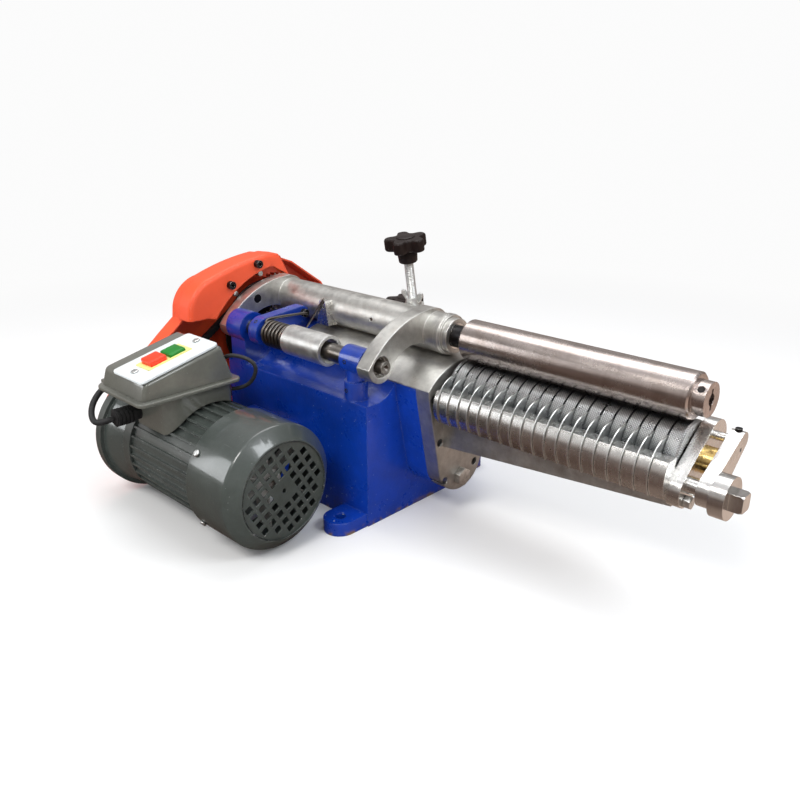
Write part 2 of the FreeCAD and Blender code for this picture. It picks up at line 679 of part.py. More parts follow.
def spindle_bearings():
    bore = "spindle_radius + running_gap"
    rear = ring("rear_bearing", "bearing_outer", bore,
                ("-bed_length / 2", "-bed_length / 2 + bearing_width"), "spindle_y", "spindle_z")
    front = ring("front_bearing", "bearing_outer", bore,
                 (FLANGE_FACE + " - bearing_width", FLANGE_FACE), "spindle_y", "spindle_z")
    return finish("spindle_bearings", group("spindle_bearing_pair", [rear, front]))


# ---- rollers and their drive ------------------------------------------------------------

def fin_slabs(name, width, radius):
    """Thin blocks at the fin pitch, wide enough to cut every piece around the lower roller."""
    slabs = []
    for i in range(FIN_COUNT):
        middle = f"fin_first + {i} * fin_pitch"
        slabs.append(box(f"{name}_{i}", (f"{middle} - ({width}) / 2", f"{middle} + ({width}) / 2"),
                         (f"spindle_y - ({radius})", f"spindle_y + ({radius})"),
                         (f"spindle_z - ({radius})", f"spindle_z + ({radius})")))
    return group(name, slabs)


def lower_roller():
    chamfer = "roller_chamfer"
    parts = [
        cone("lower_left", ("lower_radius - " + chamfer, "lower_radius"),
             ("lower_start", "lower_start + " + chamfer), "spindle_y", "spindle_z"),
        rod("lower_barrel", "lower_radius", ("lower_start + " + chamfer, "lower_end - " + chamfer),
            "spindle_y", "spindle_z"),
        cone("lower_right", ("lower_radius", "lower_radius - " + chamfer),
             ("lower_end - " + chamfer, "lower_end"), "spindle_y", "spindle_z"),
        rod("lower_journal", "journal_radius", ("lower_end", "journal_end"), "spindle_y", "spindle_z"),
    ]
    skin = ring("groove_skin", "lower_radius + 1", "lower_radius - groove_depth",
                ("lower_start - 2", "lower_end + 2"), "spindle_y", "spindle_z")
    grooves = common("roller_grooves", skin, fin_slabs("groove_slab", "groove_width", "lower_radius + 2"))
    socket = rod("spindle_socket", "spindle_radius", ("lower_start - 1", "lower_start + 40"),
                 "spindle_y", "spindle_z")
    return finish("lower_roller", cut("lower_cut", fuse("lower_solid", parts), [grooves, socket]))


def drive_spindle():
    span = ("belt_x - pulley_width / 2 - 3", "lower_start + 40")
    return finish("drive_spindle", rod("spindle", "spindle_radius", span, "spindle_y", "spindle_z"))


def upper_roller():
    chamfer = "roller_chamfer"
    parts = [
        cone("upper_left", ("upper_radius - 3 * " + chamfer, "upper_radius"),
             ("upper_start", "upper_start + 3 * " + chamfer), "spindle_y", UPPER_Z),
        rod("upper_barrel", "upper_radius", ("upper_start + 3 * " + chamfer, "upper_end - " + chamfer),
            "spindle_y", UPPER_Z),
        cone("upper_right", ("upper_radius", "upper_radius - " + chamfer),
             ("upper_end - " + chamfer, "upper_end"), "spindle_y", UPPER_Z),
        rod("upper_boss", "boss_radius", ("upper_end", "boss_end"), "spindle_y", UPPER_Z),
    ]
    screw_hole = doc.addObject("Part::Cylinder", "boss_screw_hole")
    bind(screw_hole, "Radius", "3 + seat_gap")
    bind(screw_hole, "Height", "20")
    place(screw_hole, "upper_end + 5.5", "spindle_y", UPPER_Z, Rotation(Vector(1, 0, 0), 45))
    tools = [
        rod("upper_socket", "journal_radius", ("upper_start - 1", "upper_start + 30"),
            "spindle_y", UPPER_Z),
        rod("boss_bore", "5", ("boss_end - 8", "boss_end + 1"), "spindle_y", UPPER_Z),
        box("boss_slot", ("boss_end - 4", "boss_end + 1"), ("spindle_y - 1.5", "spindle_y + 1.5"),
            (UPPER_Z + " - 9", UPPER_Z + " + 9")),
        screw_hole,
    ]
    return finish("upper_roller", cut("upper_cut", fuse("upper_solid", parts), tools))


def boss_screw():
    screw = doc.addObject("Part::Cylinder", "boss_set_screw")
    bind(screw, "Radius", "3")
    bind(screw, "Height", "5")
    lean = Rotation(Vector(1, 0, 0), 45)
    reach = lean.multVec(Vector(0, 0, 8.5))
    place(screw, "upper_end + 5.5", f"spindle_y + {reach.y:.4f}", f"{UPPER_Z} + {reach.z:.4f}", lean)
    return finish("roller_boss_screw", screw)


def upper_shaft():
    core = rod("upper_core", "journal_radius", ("gear_start - 0.5", "upper_start + 30"),
               "spindle_y", UPPER_Z)
    collar = rod("upper_collar", "collar_radius", ("tube_end + nose_length + 0.5", "upper_start"),
                 "spindle_y", UPPER_Z)
    return finish("upper_shaft", fuse("upper_shaft_solid", [core, collar]))


def upper_bushes():
    bore = "journal_radius + running_gap"
    outer = "tube_bore - seat_gap"
    rear = ring("rear_bush", outer, bore, ("tube_start", "tube_start + 24"), "spindle_y", UPPER_Z)
    front = ring("front_bush", outer, bore, ("tube_end - 18", "tube_end + nose_length"),
                 "spindle_y", UPPER_Z)
    return finish("upper_bushes", group("upper_bush_pair", [rear, front]))


def gear(name, teeth, bore, z, phase):
    """Straight-cut gear on a shaft along X; phase is in teeth, from straight up."""
    module = value("gear_module")
    pitch = module * teeth / 2
    root, tip = pitch - 1.2 * module, pitch + 0.85 * module
    step = 2 * pi / teeth
    corners = []
    for tooth in range(teeth):
        middle = pi / 2 + (tooth + phase) * step
        for radius, half in ((root, 0.30), (pitch, 0.22), (tip, 0.11)):
            corners.append((radius, middle - half * step))
        for radius, half in ((tip, 0.11), (pitch, 0.22), (root, 0.30)):
            corners.append((radius, middle + half * step))
    points = [Vector(0, radius * cos(angle), radius * sin(angle)) for radius, angle in corners]
    blank = Part.Face(Part.makePolygon(points + points[:1])).extrude(Vector(value("gear_width"), 0, 0))
    hole = Part.makeCylinder(value(bore), value("gear_width"), Vector(), Vector(1, 0, 0))
    wheel = doc.addObject("Part::Feature", name + "_wheel")
    wheel.Shape = blank.cut(hole)
    return finish(name, place(wheel, "gear_start", "spindle_y", z))


def pulley(name, radius, bore, y, z):
    """V pulley: a disc with a tapered groove for the belt."""
    half = "pulley_width / 2"
    disc = rod(name + "_disc", radius, (f"belt_x - {half}", f"belt_x + {half}"), y, z)
    low = f"({radius}) - belt_height - 2"
    outer = f"({radius}) + 0.5"
    span = ("belt_x - belt_width / 2 - 1", "belt_x + belt_width / 2 + 1")
    left = cone(name + "_left", (outer, low), (span[0], "belt_x - 2.5"), y, z)
    right = cone(name + "_right", (low, outer), ("belt_x + 2.5", span[1]), y, z)
    neck = rod(name + "_neck", low, ("belt_x - 2.5", "belt_x + 2.5"), y, z)
    blank = rod(name + "_blank", outer, span, y, z)
    groove = cut(name + "_groove", blank, [left, right, neck])
    hole = rod(name + "_bore", bore, (f"belt_x - {half} - 1", f"belt_x + {half} + 1"), y, z)
    return cut(name + "_cut", disc, [groove, hole])


def main_pulley():
    wheel = pulley("main_pulley", "main_pulley", "spindle_radius", "spindle_y", "spindle_z")
    web = ring("main_web", "main_pulley - 16", "20", ("belt_x + 2.5", "belt_x + pulley_width / 2 + 1"),
               "spindle_y", "spindle_z")
    return finish("main_pulley", cut("main_pulley_web", wheel, [web]))


def v_belt():
    """A loop of V belt clear of both pulleys, made from two hulls."""
    gap = 0.4
    y1, z1, r1 = value("motor_y"), value("motor_z"), value("motor_pulley")
    y2, z2, r2 = value("spindle_y"), value("spindle_z"), value("main_pulley")

    def hull(grow, width):
        lean = atan2(z2 - z1, y2 - y1)
        spread = asin((r1 - r2) / hypot(y2 - y1, z2 - z1))
        def rim(y, z, radius, angle):
            return Vector(0, y + (radius + grow) * cos(angle), z + (radius + grow) * sin(angle))
        right, left = lean - pi / 2 + spread, lean + pi / 2 - spread
        edges = [
            Part.LineSegment(rim(y1, z1, r1, right), rim(y2, z2, r2, right)).toShape(),
            Part.Arc(rim(y2, z2, r2, right), rim(y2, z2, r2, lean), rim(y2, z2, r2, left)).toShape(),
            Part.LineSegment(rim(y2, z2, r2, left), rim(y1, z1, r1, left)).toShape(),
            Part.Arc(rim(y1, z1, r1, left), rim(y1, z1, r1, lean + pi), rim(y1, z1, r1, right)).toShape(),
        ]
        return Part.Face(Part.Wire(edges)).extrude(Vector(width, 0, 0))

    height = value("belt_height")
    width = value("belt_width") / 2
    loop = hull(gap, width).cut(hull(gap - height, width))
    belt = doc.addObject("Part::Feature", "belt_loop")
    belt.Shape = loop
    return finish("v_belt", place(belt, "belt_x - belt_width / 4", "0", "0"))


# ---- stripper fins, guide bar and outboard end ------------------------------------------

def around_roller(name, radius, x_range):
    return rod(name, radius, x_range, "spindle_y", "spindle_z")


def around_arc(name, radius, x_range):
    return rod(name, radius, x_range, "spindle_y + fin_arc_y", "spindle_z + fin_arc_z")


def stripper_fins():
    span = ("fin_first - 1", f"fin_first + {FIN_COUNT - 1} * fin_pitch + 1")
    wide = (f"({span[0]}) - 1", f"({span[1]}) + 1")
    beak_floor = "spindle_z + bar_top"
    left_half = ("spindle_y + fin_arc_y - fin_arc - 1", "spindle_y + fin_arc_y + 1.5")
    below = ("spindle_z - fin_arc - 10", beak_floor)
    band = common("fin_band", ring("fin_ring", "fin_arc", "fin_arc - fin_band", span,
                                   "spindle_y + fin_arc_y", "spindle_z + fin_arc_z"),
                  box("fin_band_keep", wide, left_half, ("spindle_z - 24", beak_floor)))
    beak = common("fin_beak_part", around_arc("fin_disc", "fin_arc", span),
                  box("fin_beak_keep", wide, left_half, (beak_floor, "spindle_z + fin_arc")))
    blank = cut("fin_blank", fuse("fin_blank_solid", [band, beak]),
                [around_roller("fin_relief", "lower_radius - groove_depth + 0.6", wide)])
    slabs = fin_slabs("fin_slab", "fin_thick", "fin_arc * 2")
    return finish("stripper_fins", common("fins", blank, slabs))


def guide_bar():
    span = ("lower_start + 0.5", "lower_end + 1")
    wide = (f"({span[0]}) - 1", f"({span[1]}) + 1")
    keep = box("bar_keep", wide, ("spindle_y + fin_arc_y - fin_arc", "spindle_y + fin_arc_y - 3"),
               ("spindle_z + bar_bottom", "spindle_z + bar_top"))
    blank = common("bar_blank", around_arc("bar_disc", "fin_arc - bar_inset", span), keep)
    relief = around_roller("bar_relief", "lower_radius + bar_gap", wide)
    skin = ring("bar_slot_skin", "fin_arc + 1", "fin_arc - fin_band - 0.3", wide,
                "spindle_y + fin_arc_y", "spindle_z + fin_arc_z")
    slots = common("bar_slots", skin, fin_slabs("bar_slab", "fin_slot", "fin_arc * 2"))
    return finish("guide_bar", cut("bar_cut", blank, [relief, slots]))


def support_beam():
    """Bar from flange to outboard plate, tapered below and hollowed for the roller above."""
    top = "spindle_z + bar_bottom"
    blank = profile("beam", "XZ", [
        (FLANGE_FACE, "beam_low"),
        (PLATE_LEFT, "beam_end_low"),
        (PLATE_LEFT, top),
        (FLANGE_FACE, top),
    ], "beam_front", "beam_depth")
    wide = (FLANGE_FACE + " - 1", PLATE_LEFT + " + 1")
    relief = around_roller("beam_relief", "lower_radius + bar_gap + 0.5", wide)
    return finish("support_beam", cut("beam_cut", blank, [relief]))


def outboard_plate():
    blank = profile("plate", "YZ", pear("toe_y", "toe_z", "toe_radius", "heel_y", "heel_z", "heel_radius"),
                    PLATE_LEFT, "plate_thick")
    through = (PLATE_LEFT + " - 1", PLATE_RIGHT + " + 1")
    tools = [
        rod("plate_bush_hole", "bush_radius + seat_gap", through, "spindle_y", "spindle_z"),
        rod("plate_cam_hole", "cam_radius + running_gap", through, "link_toe_y", "link_toe_z"),
        rod("plate_pin_hole", "pin_radius + seat_gap", through, "pin_y", "pin_z"),
    ]
    return finish("outboard_plate", cut("plate_cut", blank, tools))


def brass_bush():
    span = (PLATE_LEFT, PLATE_RIGHT + " + bush_length")
    return finish("brass_bush", ring("bush", "bush_radius", "journal_radius + running_gap", span,
                                     "spindle_y", "spindle_z"))


def tie_pin():
    return finish("tie_pin", rod("tie", "pin_radius", (PLATE_LEFT, LINK_LEFT), "pin_y", "pin_z"))


def outboard_link():
    lobes = pear("link_toe_y", "link_toe_z", "toe_radius - 1", "link_heel_y", "link_heel_z", "link_heel")
    blank = profile("link", "YZ", lobes, LINK_LEFT, "link_thick")
    through = (LINK_LEFT + " - 1", LINK_RIGHT + " + 1")
    middle = f"{LINK_LEFT} + link_thick / 2"
    tools = [
        rod("link_cam_hole", "cam_radius + running_gap", through, "link_toe_y", "link_toe_z"),
        rod("link_sight_hole", "1.8", through, "link_heel_y - 5", "link_heel_z - 6"),
        post("link_screw_hole", "link_screw + seat_gap", middle, "link_heel_y",
             ("link_heel_z", "link_heel_z + link_heel + 1")),
    ]
    return finish("outboard_link", cut("link_cut", blank, tools))


def adjusting_spindle():
    collar_left = LINK_RIGHT + " + 0.5"
    collar_right = collar_left + " + cam_step"
    head_right = collar_right + " + cam_head"
    axis = ("link_toe_y", "link_toe_z")
    shaft = rod("cam_shaft", "cam_radius", (PLATE_LEFT + " + 0.5", LINK_RIGHT + " + 1"), *axis)
    collar = rod("cam_collar_disc", "cam_collar", (collar_left, collar_right), *axis)
    sides = ("link_toe_y - cam_square / 2", "link_toe_y + cam_square / 2")
    heights = ("link_toe_z - cam_square / 2", "link_toe_z + cam_square / 2")
    block = box("cam_head_block", (collar_right, head_right), sides, heights)
    ends = ("cam_square", "cam_square / 2 + 1.6")
    rounding = cone("cam_head_round", ends, (collar_right, head_right), *axis)
    head = common("cam_head_cut", block, rounding)
    return finish("adjusting_spindle", fuse("cam_solid", [shaft, collar, head]))


def spindle_spacer():
    span = (PLATE_RIGHT, LINK_LEFT)
    return finish("spindle_spacer", ring("spacer", "cam_radius + 1", "cam_radius + running_gap", span,
                                         "link_toe_y", "link_toe_z"))


def outboard_screws():
    """Set screw of the link, and the socket screw that closes the split in the bearing plate."""
    middle = f"{LINK_LEFT} + link_thick / 2"
    set_screw = post("link_set_screw", "link_screw", middle, "link_heel_y",
                     ("link_heel_z + 0.5", "link_heel_z + link_heel + 2"))
    centre = ("toe_y + 12.2", "toe_z + 3.1")
    head = rod("plate_screw_head", "plate_screw", (PLATE_RIGHT, PLATE_RIGHT + " + 7"), *centre)
    socket = prism("plate_screw_socket", 6, "2.2", (PLATE_RIGHT + " + 4", PLATE_RIGHT + " + 8"), *centre)
    plate_screw = cut("plate_screw_cut", head, [socket])
    return finish("outboard_screws", group("outboard_screw_set", [set_screw, plate_screw]))


def plate_nut():
    """Hexagon head below the adjusting spindle."""
    span = (PLATE_RIGHT, PLATE_RIGHT + " + 6")
    return finish("plate_nut", prism("plate_nut_hexagon", 6, "plate_nut", span, "toe_y - 1", "toe_z - 8"))



# ---- hinge line -------------------------------------------------------------------------

def hinge_shaft():
    shaft = rod("hinge_main", "hinge_radius", ("hinge_start", "hinge_step"), "hinge_y", "hinge_z")
    tip = rod("hinge_tip_end", "hinge_tip", ("hinge_step - 1", "hinge_end"), "hinge_y", "hinge_z")
    centre = cone("hinge_centre", ("0.1", "hinge_tip / 2"), ("hinge_end - 3.5", "hinge_end + 0.1"),
                  "hinge_y", "hinge_z")
    return finish("hinge_shaft", cut("hinge_cut", fuse("hinge_solid", [shaft, tip]), [centre]))


def spring_sleeve():
    axis = ("hinge_y", "hinge_z")
    tube = rod("sleeve_tube", "sleeve_radius", ("sleeve_start", "sleeve_end"), *axis)
    bore = rod("sleeve_bore", "hinge_radius + seat_gap", ("sleeve_start - 1", "sleeve_end + 1"), *axis)
    opening = ("sleeve_end - sleeve_mouth_depth", "sleeve_end + 1")
    mouth = rod("sleeve_opening", "sleeve_mouth", opening, *axis)
    return finish("spring_sleeve", cut("sleeve_cut", tube, [bore, mouth]))


def spring_lever():
    lobes = pear("hinge_y", "hinge_z", "lever_radius", "lever_tip_y", "lever_tip_z", "lever_tip")
    blank = profile("lever", "YZ", lobes, "lever_start", "lever_thick")
    through = ("lever_start - 1", "lever_start + lever_thick + 1")
    bore = rod("lever_bore", "hinge_radius + running_gap", through, "hinge_y", "hinge_z")
    hole = rod("lever_screw_hole", "lever_screw + seat_gap", through, "lever_tip_y", "lever_tip_z")
    return finish("spring_lever", cut("lever_cut", blank, [bore, hole]))


def socket_screw(name, head, shank, x_face, length, y, z, grip):
    """Cap screw along X: the head stands out of x_face towards +X, the shank goes back."""
    top = rod(name + "_head", head, (x_face, f"({x_face}) + ({length})"), y, z)
    stem = rod(name + "_stem", shank, (f"({x_face}) - ({grip})", f"({x_face}) + 1"), y, z)
    socket = prism(name + "_socket", 6, f"({head}) * 0.55",
                   (f"({x_face}) + ({length}) * 0.4", f"({x_face}) + ({length}) + 1"), y, z)
    return cut(name + "_cut", fuse(name + "_solid", [top, stem]), [socket])


def lever_screw():
    face = "lever_start + lever_thick"
    screw = socket_screw("lever_cap", "lever_screw_head", "lever_screw", face, "5", "lever_tip_y",
                         "lever_tip_z", "lever_thick - 1")
    return finish("lever_screw", screw)


def torsion_spring():
    start = "(lever_start + lever_thick + 1)"
    length = f"(sleeve_start - {start} - 1)"
    helix = doc.addObject("Part::Helix", "spring_helix")
    bind(helix, "Pitch", "coil_pitch")
    bind(helix, "Height", f"{length} - 2 * wire_radius - 0.2")
    bind(helix, "Radius", "coil_radius")
    place(helix, f"{start} + wire_radius", "hinge_y", "hinge_z", ALONG["X"])
    wire = doc.addObject("Part::Circle", "spring_wire")
    bind(wire, "Radius", "wire_radius")
    place(wire, f"{start} + wire_radius", "hinge_y", "hinge_z - coil_radius", Rotation(Vector(1, 0, 0), 90))
    sweep = doc.addObject("Part::Sweep", "spring_sweep")
    sweep.Sections = [wire]
    sweep.Spine = (helix, ["Edge1"])
    sweep.Solid = True
    sweep.Frenet = True
    return finish("torsion_spring", sweep)


# ---- swing arm --------------------------------------------------------------------------

def lug_corners():
    """Arm lug: round at the hinge, arched back, hollow underside, closed inside the tube."""
    return [
        ("hinge_y - lug_round", "hinge_z", "lug_round"),
        ("hinge_y", "hinge_z - lug_round", "lug_round"),
        ("hinge_y + lug_round", "hinge_z", "-lug_throat"),
        ("spindle_y - 19", UPPER_Z + " - 9"),
        ("spindle_y", UPPER_Z + " - upper_radius + 1"),
        ("spindle_y + upper_radius", UPPER_Z, "upper_radius + 4"),
        ("spindle_y - 2", UPPER_Z + " + upper_radius + 4", "lug_crown"),
    ]


def arm_casting():
    tube_axis = ("spindle_y", UPPER_Z)
    nose_end = "tube_end + nose_length"
    parts = [
        rod("arm_tube", "upper_radius", ("tube_start", "tube_end"), *tube_axis),
        rod("arm_nose", "nose_radius", ("tube_end - 1", nose_end), *tube_axis),
        rod("arm_bead", "upper_radius + 0.7", ("tube_end - 8", "tube_end - 3"), *tube_axis),
        profile("rear_lug", "YZ", lug_corners(), "tube_start", "rear_lug_thick"),
        profile("front_lug", "YZ", lug_corners(), "front_lug_start", "front_lug_thick"),
        on_rod("adjuster_ear", "ear_radius", "ear_low", "ear_high"),
        box("adjuster_web", ("rod_x - ear_radius + 1", "rod_x + ear_radius - 1"),
            ("spindle_y", "rod_tip_y - 6"), (UPPER_Z + " - 8", UPPER_Z + " + 14")),
    ]
    tools = [
        rod("arm_bore", "tube_bore", ("tube_start - 1", nose_end + " + 1"), *tube_axis),
        rod("arm_hinge_bore", "hinge_radius + running_gap", ("tube_start - 1", FRONT_LUG_FACE),
            "hinge_y", "hinge_z"),
        rod("arm_hinge_mouth", "hinge_radius + 1.5", (FRONT_LUG_FACE + " - 4", FRONT_LUG_FACE + " + 1"),
            "hinge_y", "hinge_z"),
        on_rod("adjuster_bore", "rod_radius + running_gap", "ear_low - 2", "ear_high + 2"),
        on_rod("adjuster_seat", "ear_radius", "ear_high", "ear_high + nut_height"),
        rod("plug_hole", "plug_radius + seat_gap", (REAR_LUG_FACE + " - 4", REAR_LUG_FACE + " + 1"),
            "plug_y", "plug_z"),
        cross("tube_oil_hole", "2", "48", ("spindle_y - upper_radius - 2", "spindle_y"), UPPER_Z + " + 2"),
    ]
    return finish("arm_casting", cut("arm_cut", fuse("arm_solid", parts), tools))


def arm_plug():
    span = (REAR_LUG_FACE + " - 4", REAR_LUG_FACE + " + 0.3")
    return finish("arm_plug", rod("plug", "plug_radius", span, "plug_y", "plug_z"))


def prop_bracket():
    wedge = profile("wedge", "XZ", [
        ("wedge_x - wedge_half", "wedge_low"),
        ("wedge_x + wedge_half", "wedge_low"),
        ("wedge_x + wedge_half / 2", "wedge_high"),
        ("wedge_x - wedge_half / 2", "wedge_high"),
    ], "wedge_front", "spindle_y - (wedge_front)")
    hollow = rod("wedge_relief", "upper_radius + seat_gap",
                 ("wedge_x - wedge_half - 1", "wedge_x + wedge_half + 1"), "spindle_y", UPPER_Z)
    hole = cross("wedge_hole", "1.5", "wedge_x + 2", ("wedge_front - 1", "spindle_y"), "wedge_high - 7")
    return finish("prop_bracket", cut("wedge_cut", wedge, [hollow, hole]))


def prop_rod():
    """Thin rod that leans on the bracket's front face."""
    top = Vector(value("wedge_x") + 4, value("wedge_front") - 1.3, value("wedge_high") + 3)
    foot = Vector(value("wedge_x") - 24, value("wedge_front") - 3, value("wedge_low") - 6)
    wire = doc.addObject("Part::Cylinder", "prop_wire")
    bind(wire, "Radius", "1.2")
    wire.Height = (top - foot).Length
    return finish("prop_rod", place(wire, foot.x, foot.y, foot.z, Rotation(Vector(0, 0, 1), top - foot)))


def star_knob(name, origin, lean, hub_low, bore):
    """Five-lobed star with a hub below it, on an axis that may lean."""
    star_low = f"({hub_low}) + knob_hub_height"
    star_high = f"{star_low} + knob_height"
    parts = [
        leaning(name + "_hub", "knob_hub", hub_low, star_low + " + 1", origin, lean),
        leaning(name + "_core", "knob_core", star_low, star_high, origin, lean),
    ]
    for i in range(LOBES):
        parts.append(leaning(f"{name}_lobe_{i}", "knob_lobe", star_low, star_high, origin, lean,
                             value("knob_lobe_at"), 2 * pi * i / LOBES))
    hole = leaning(name + "_hole", bore, f"({hub_low}) - 1", star_low + " + 6", origin, lean)
    return finish(name, cut(name + "_cut", fuse(name + "_solid", parts), [hole]))


def adjuster_knob():
    return star_knob("adjuster_knob", ROD_TIP, ROD_LEAN, "knob_low", "rod_radius + seat_gap")


def adjuster_rod():
    stem = on_rod("adjuster_stem", "rod_radius", "0", "knob_low + knob_hub_height + 5")
    return finish("adjuster_rod", stem)


def wing_nut():
    """Hub with two wings that rise outwards on the adjuster's axis."""
    seat = value("ear_high") + 0.2
    hub_high, reach, tip = value("nut_height"), value("nut_reach"), value("nut_wing_high")
    thick = value("nut_wing_thick")
    hub = Part.makeCone(9, 7, hub_high, Vector(0, 0, seat))
    nut_shape = hub
    for side in (-1, 1):
        across = [(0, 1), (7, 1), (reach, tip - 4), (reach - 1, tip), (reach - 5, tip), (6, hub_high - 1)]
        points = [Vector(side * x, -thick / 2, seat + z) for x, z in across]
        wing = Part.Face(Part.makePolygon(points + points[:1])).extrude(Vector(0, thick, 0))
        nut_shape = nut_shape.fuse(wing)
    bore = value("rod_radius") + value("running_gap")
    hole = Part.makeCylinder(bore, hub_high + 10, Vector(0, 0, seat - 5))
    nut = doc.addObject("Part::Feature", "wing_nut_solid")
    nut.Shape = nut_shape.cut(hole)
    return finish("wing_nut", place(nut, *ROD_TIP, ROD_LEAN))


def rear_stud():
    top = "bed_height + rear_knob_low + knob_hub_height + 5"
    stud = post("rear_stud_post", "stud_radius", "stud_x", "stud_y", ("bed_height", top))
    return finish("rear_stud", stud)


def rear_knob():
    return star_knob("rear_knob", ("stud_x", "stud_y", "bed_height"), Rotation(), "rear_knob_low",
                     "stud_radius + running_gap")


# ---- motor ------------------------------------------------------------------------------

# Motor fins and the fan cowl's grille
FIN_END = 2
FIN_THICK = 2.2
GRILLE_PITCH = 10.7
GRILLE_HOLE = 6.7
GRILLE_TURN = 30
GRILLE_ROWS = 8
GRILLE_CORNER = 4
GRILLE_CENTRE = 2.3


def on_motor(name, radius, low, high):
    return rod(name, radius, (low, high), "motor_y", "motor_z")


def motor_stator():
    """Body with a fin every ten degrees."""
    core = on_motor("stator_core", "stator_radius", "stator_start", "stator_end")
    length = value("stator_end") - value("stator_start") - 2 * FIN_END
    root = value("stator_radius") - 1.5
    corner = Vector(value("stator_start") + FIN_END, -FIN_THICK / 2, root)
    blade = Part.makeBox(length, FIN_THICK, value("stator_fin") - root, corner)
    blades = []
    for angle in range(0, 360, 10):
        fin = blade.copy()
        fin.rotate(Vector(), Vector(1, 0, 0), angle - 90)
        blades.append(fin)
    comb = doc.addObject("Part::Feature", "stator_fins")
    comb.Shape = Part.makeCompound(blades)
    place(comb, "0", "motor_y", "motor_z")
    bore = on_motor("stator_bore", "motor_shaft + 3", "stator_start - 1", "stator_end + 1")
    return finish("motor_stator", cut("stator_cut", fuse("stator_solid", [core, comb]), [bore]))


def motor_end_bell():
    parts = [
        on_motor("bell_disc", "bell_radius", "bell_start", "bell_start + bell_flange"),
        cone("bell_cone", ("bell_radius - 4", "stator_radius + 2"),
             ("bell_start + bell_flange", "stator_start - 12"), "motor_y", "motor_z"),
        on_motor("bell_rim", "stator_fin", "stator_start - 13", "stator_start"),
    ]
    bore = on_motor("bell_bore", "motor_shaft + running_gap", "bell_start - 1", "stator_start + 1")
    return finish("motor_end_bell", cut("bell_cut", fuse("bell_solid", parts), [bore]))


def motor_rotor_shaft():
    span = ("belt_x - pulley_width / 2 - 2", "shaft_end")
    return finish("motor_shaft", on_motor("rotor_shaft", "motor_shaft", *span))


def motor_fan():
    """Hub with six straight vanes behind the grille."""
    hub = on_motor("fan_hub", "14", "fan_start - 1", "fan_start + 21")
    blade = Part.makeBox(20, 2, 36, Vector(value("fan_start"), -1, 12))
    blades = []
    for angle in range(0, 360, 60):
        vane = blade.copy()
        vane.rotate(Vector(), Vector(1, 0, 0), angle)
        blades.append(vane)
    vanes = doc.addObject("Part::Feature", "fan_vanes")
    vanes.Shape = Part.makeCompound(blades)
    place(vanes, "0", "motor_y", "motor_z")
    bore = on_motor("fan_bore", "motor_shaft", "fan_start - 2", "shaft_end + 0.5")
    return finish("motor_fan", cut("fan_cut", fuse("fan_solid", [hub, vanes]), [bore]))


def grille_holes():
    """Square holes on a turned grid without its corners and its four middle holes."""
    back = value("cowl_front") - 15
    first = (1 - GRILLE_ROWS) / 2
    spots = [first + i for i in range(GRILLE_ROWS)]
    holes = [Part.makeCylinder(GRILLE_CENTRE, 30, Vector(back, 0, 0), Vector(1, 0, 0))]
    for row in spots:
        for column in spots:
            if not 1 < hypot(row, column) < GRILLE_CORNER:
                continue
            y = row * GRILLE_PITCH - GRILLE_HOLE / 2
            z = column * GRILLE_PITCH - GRILLE_HOLE / 2
            square = Part.makeBox(30, GRILLE_HOLE, GRILLE_HOLE, Vector(back, y, z))
            square.rotate(Vector(), Vector(1, 0, 0), GRILLE_TURN)
            holes.append(square)
    grid = doc.addObject("Part::Feature", "grille_grid")
    grid.Shape = Part.makeCompound(holes)
    return place(grid, "0", "motor_y", "motor_z")


def fan_cowl():
    """Pressed cover: a sleeve, a chamfered nose and a flat grille of square holes."""
    inner = "cowl_radius - sheet_metal"
    axis = ("motor_y", "motor_z")
    nose = ("cowl_face", "cowl_front")
    nose_hollow = ("cowl_face", "cowl_front - 2 * sheet_metal")
    dish = ("cowl_front - sheet_metal", "cowl_front + 1")
    outside = fuse("cowl_outside", [
        on_motor("cowl_sleeve", "cowl_radius", "cowl_back", "cowl_face"),
        cone("cowl_nose", ("cowl_radius", "grille_radius"), nose, *axis),
    ])
    inside = [
        on_motor("cowl_hollow", inner, "cowl_back - 1", "cowl_face"),
        cone("cowl_nose_hollow", (inner, "grille_radius - sheet_metal"), nose_hollow, *axis),
        on_motor("cowl_dish", "grille_radius - sheet_metal / 2", *dish),
        grille_holes(),
    ]
    return finish("fan_cowl", cut("cowl_cut", outside, inside))


def cowl_screws():
    """Screws that hold the cowl to the body, and the one washer-headed screw on its side."""
    screws = []
    for i, angle in enumerate((35, 145, 215, 325)):
        lean = Rotation(Vector(1, 0, 0), angle - 90)
        head = doc.addObject("Part::Cylinder", f"cowl_screw_{i}")
        bind(head, "Radius", "3.5")
        bind(head, "Height", "2.5")
        reach = lean.multVec(Vector(0, 0, value("cowl_radius") + 0.05))
        y, z = f"motor_y + {reach.y:.4f}", f"motor_z + {reach.z:.4f}"
        screws.append(place(head, "cowl_back + 7", y, z, lean))
    return finish("cowl_screws", group("cowl_screw_set", screws))


def motor_pulley():
    wheel = pulley("motor_pulley", "motor_pulley", "motor_shaft", "motor_y", "motor_z")
    return finish("motor_pulley", wheel)


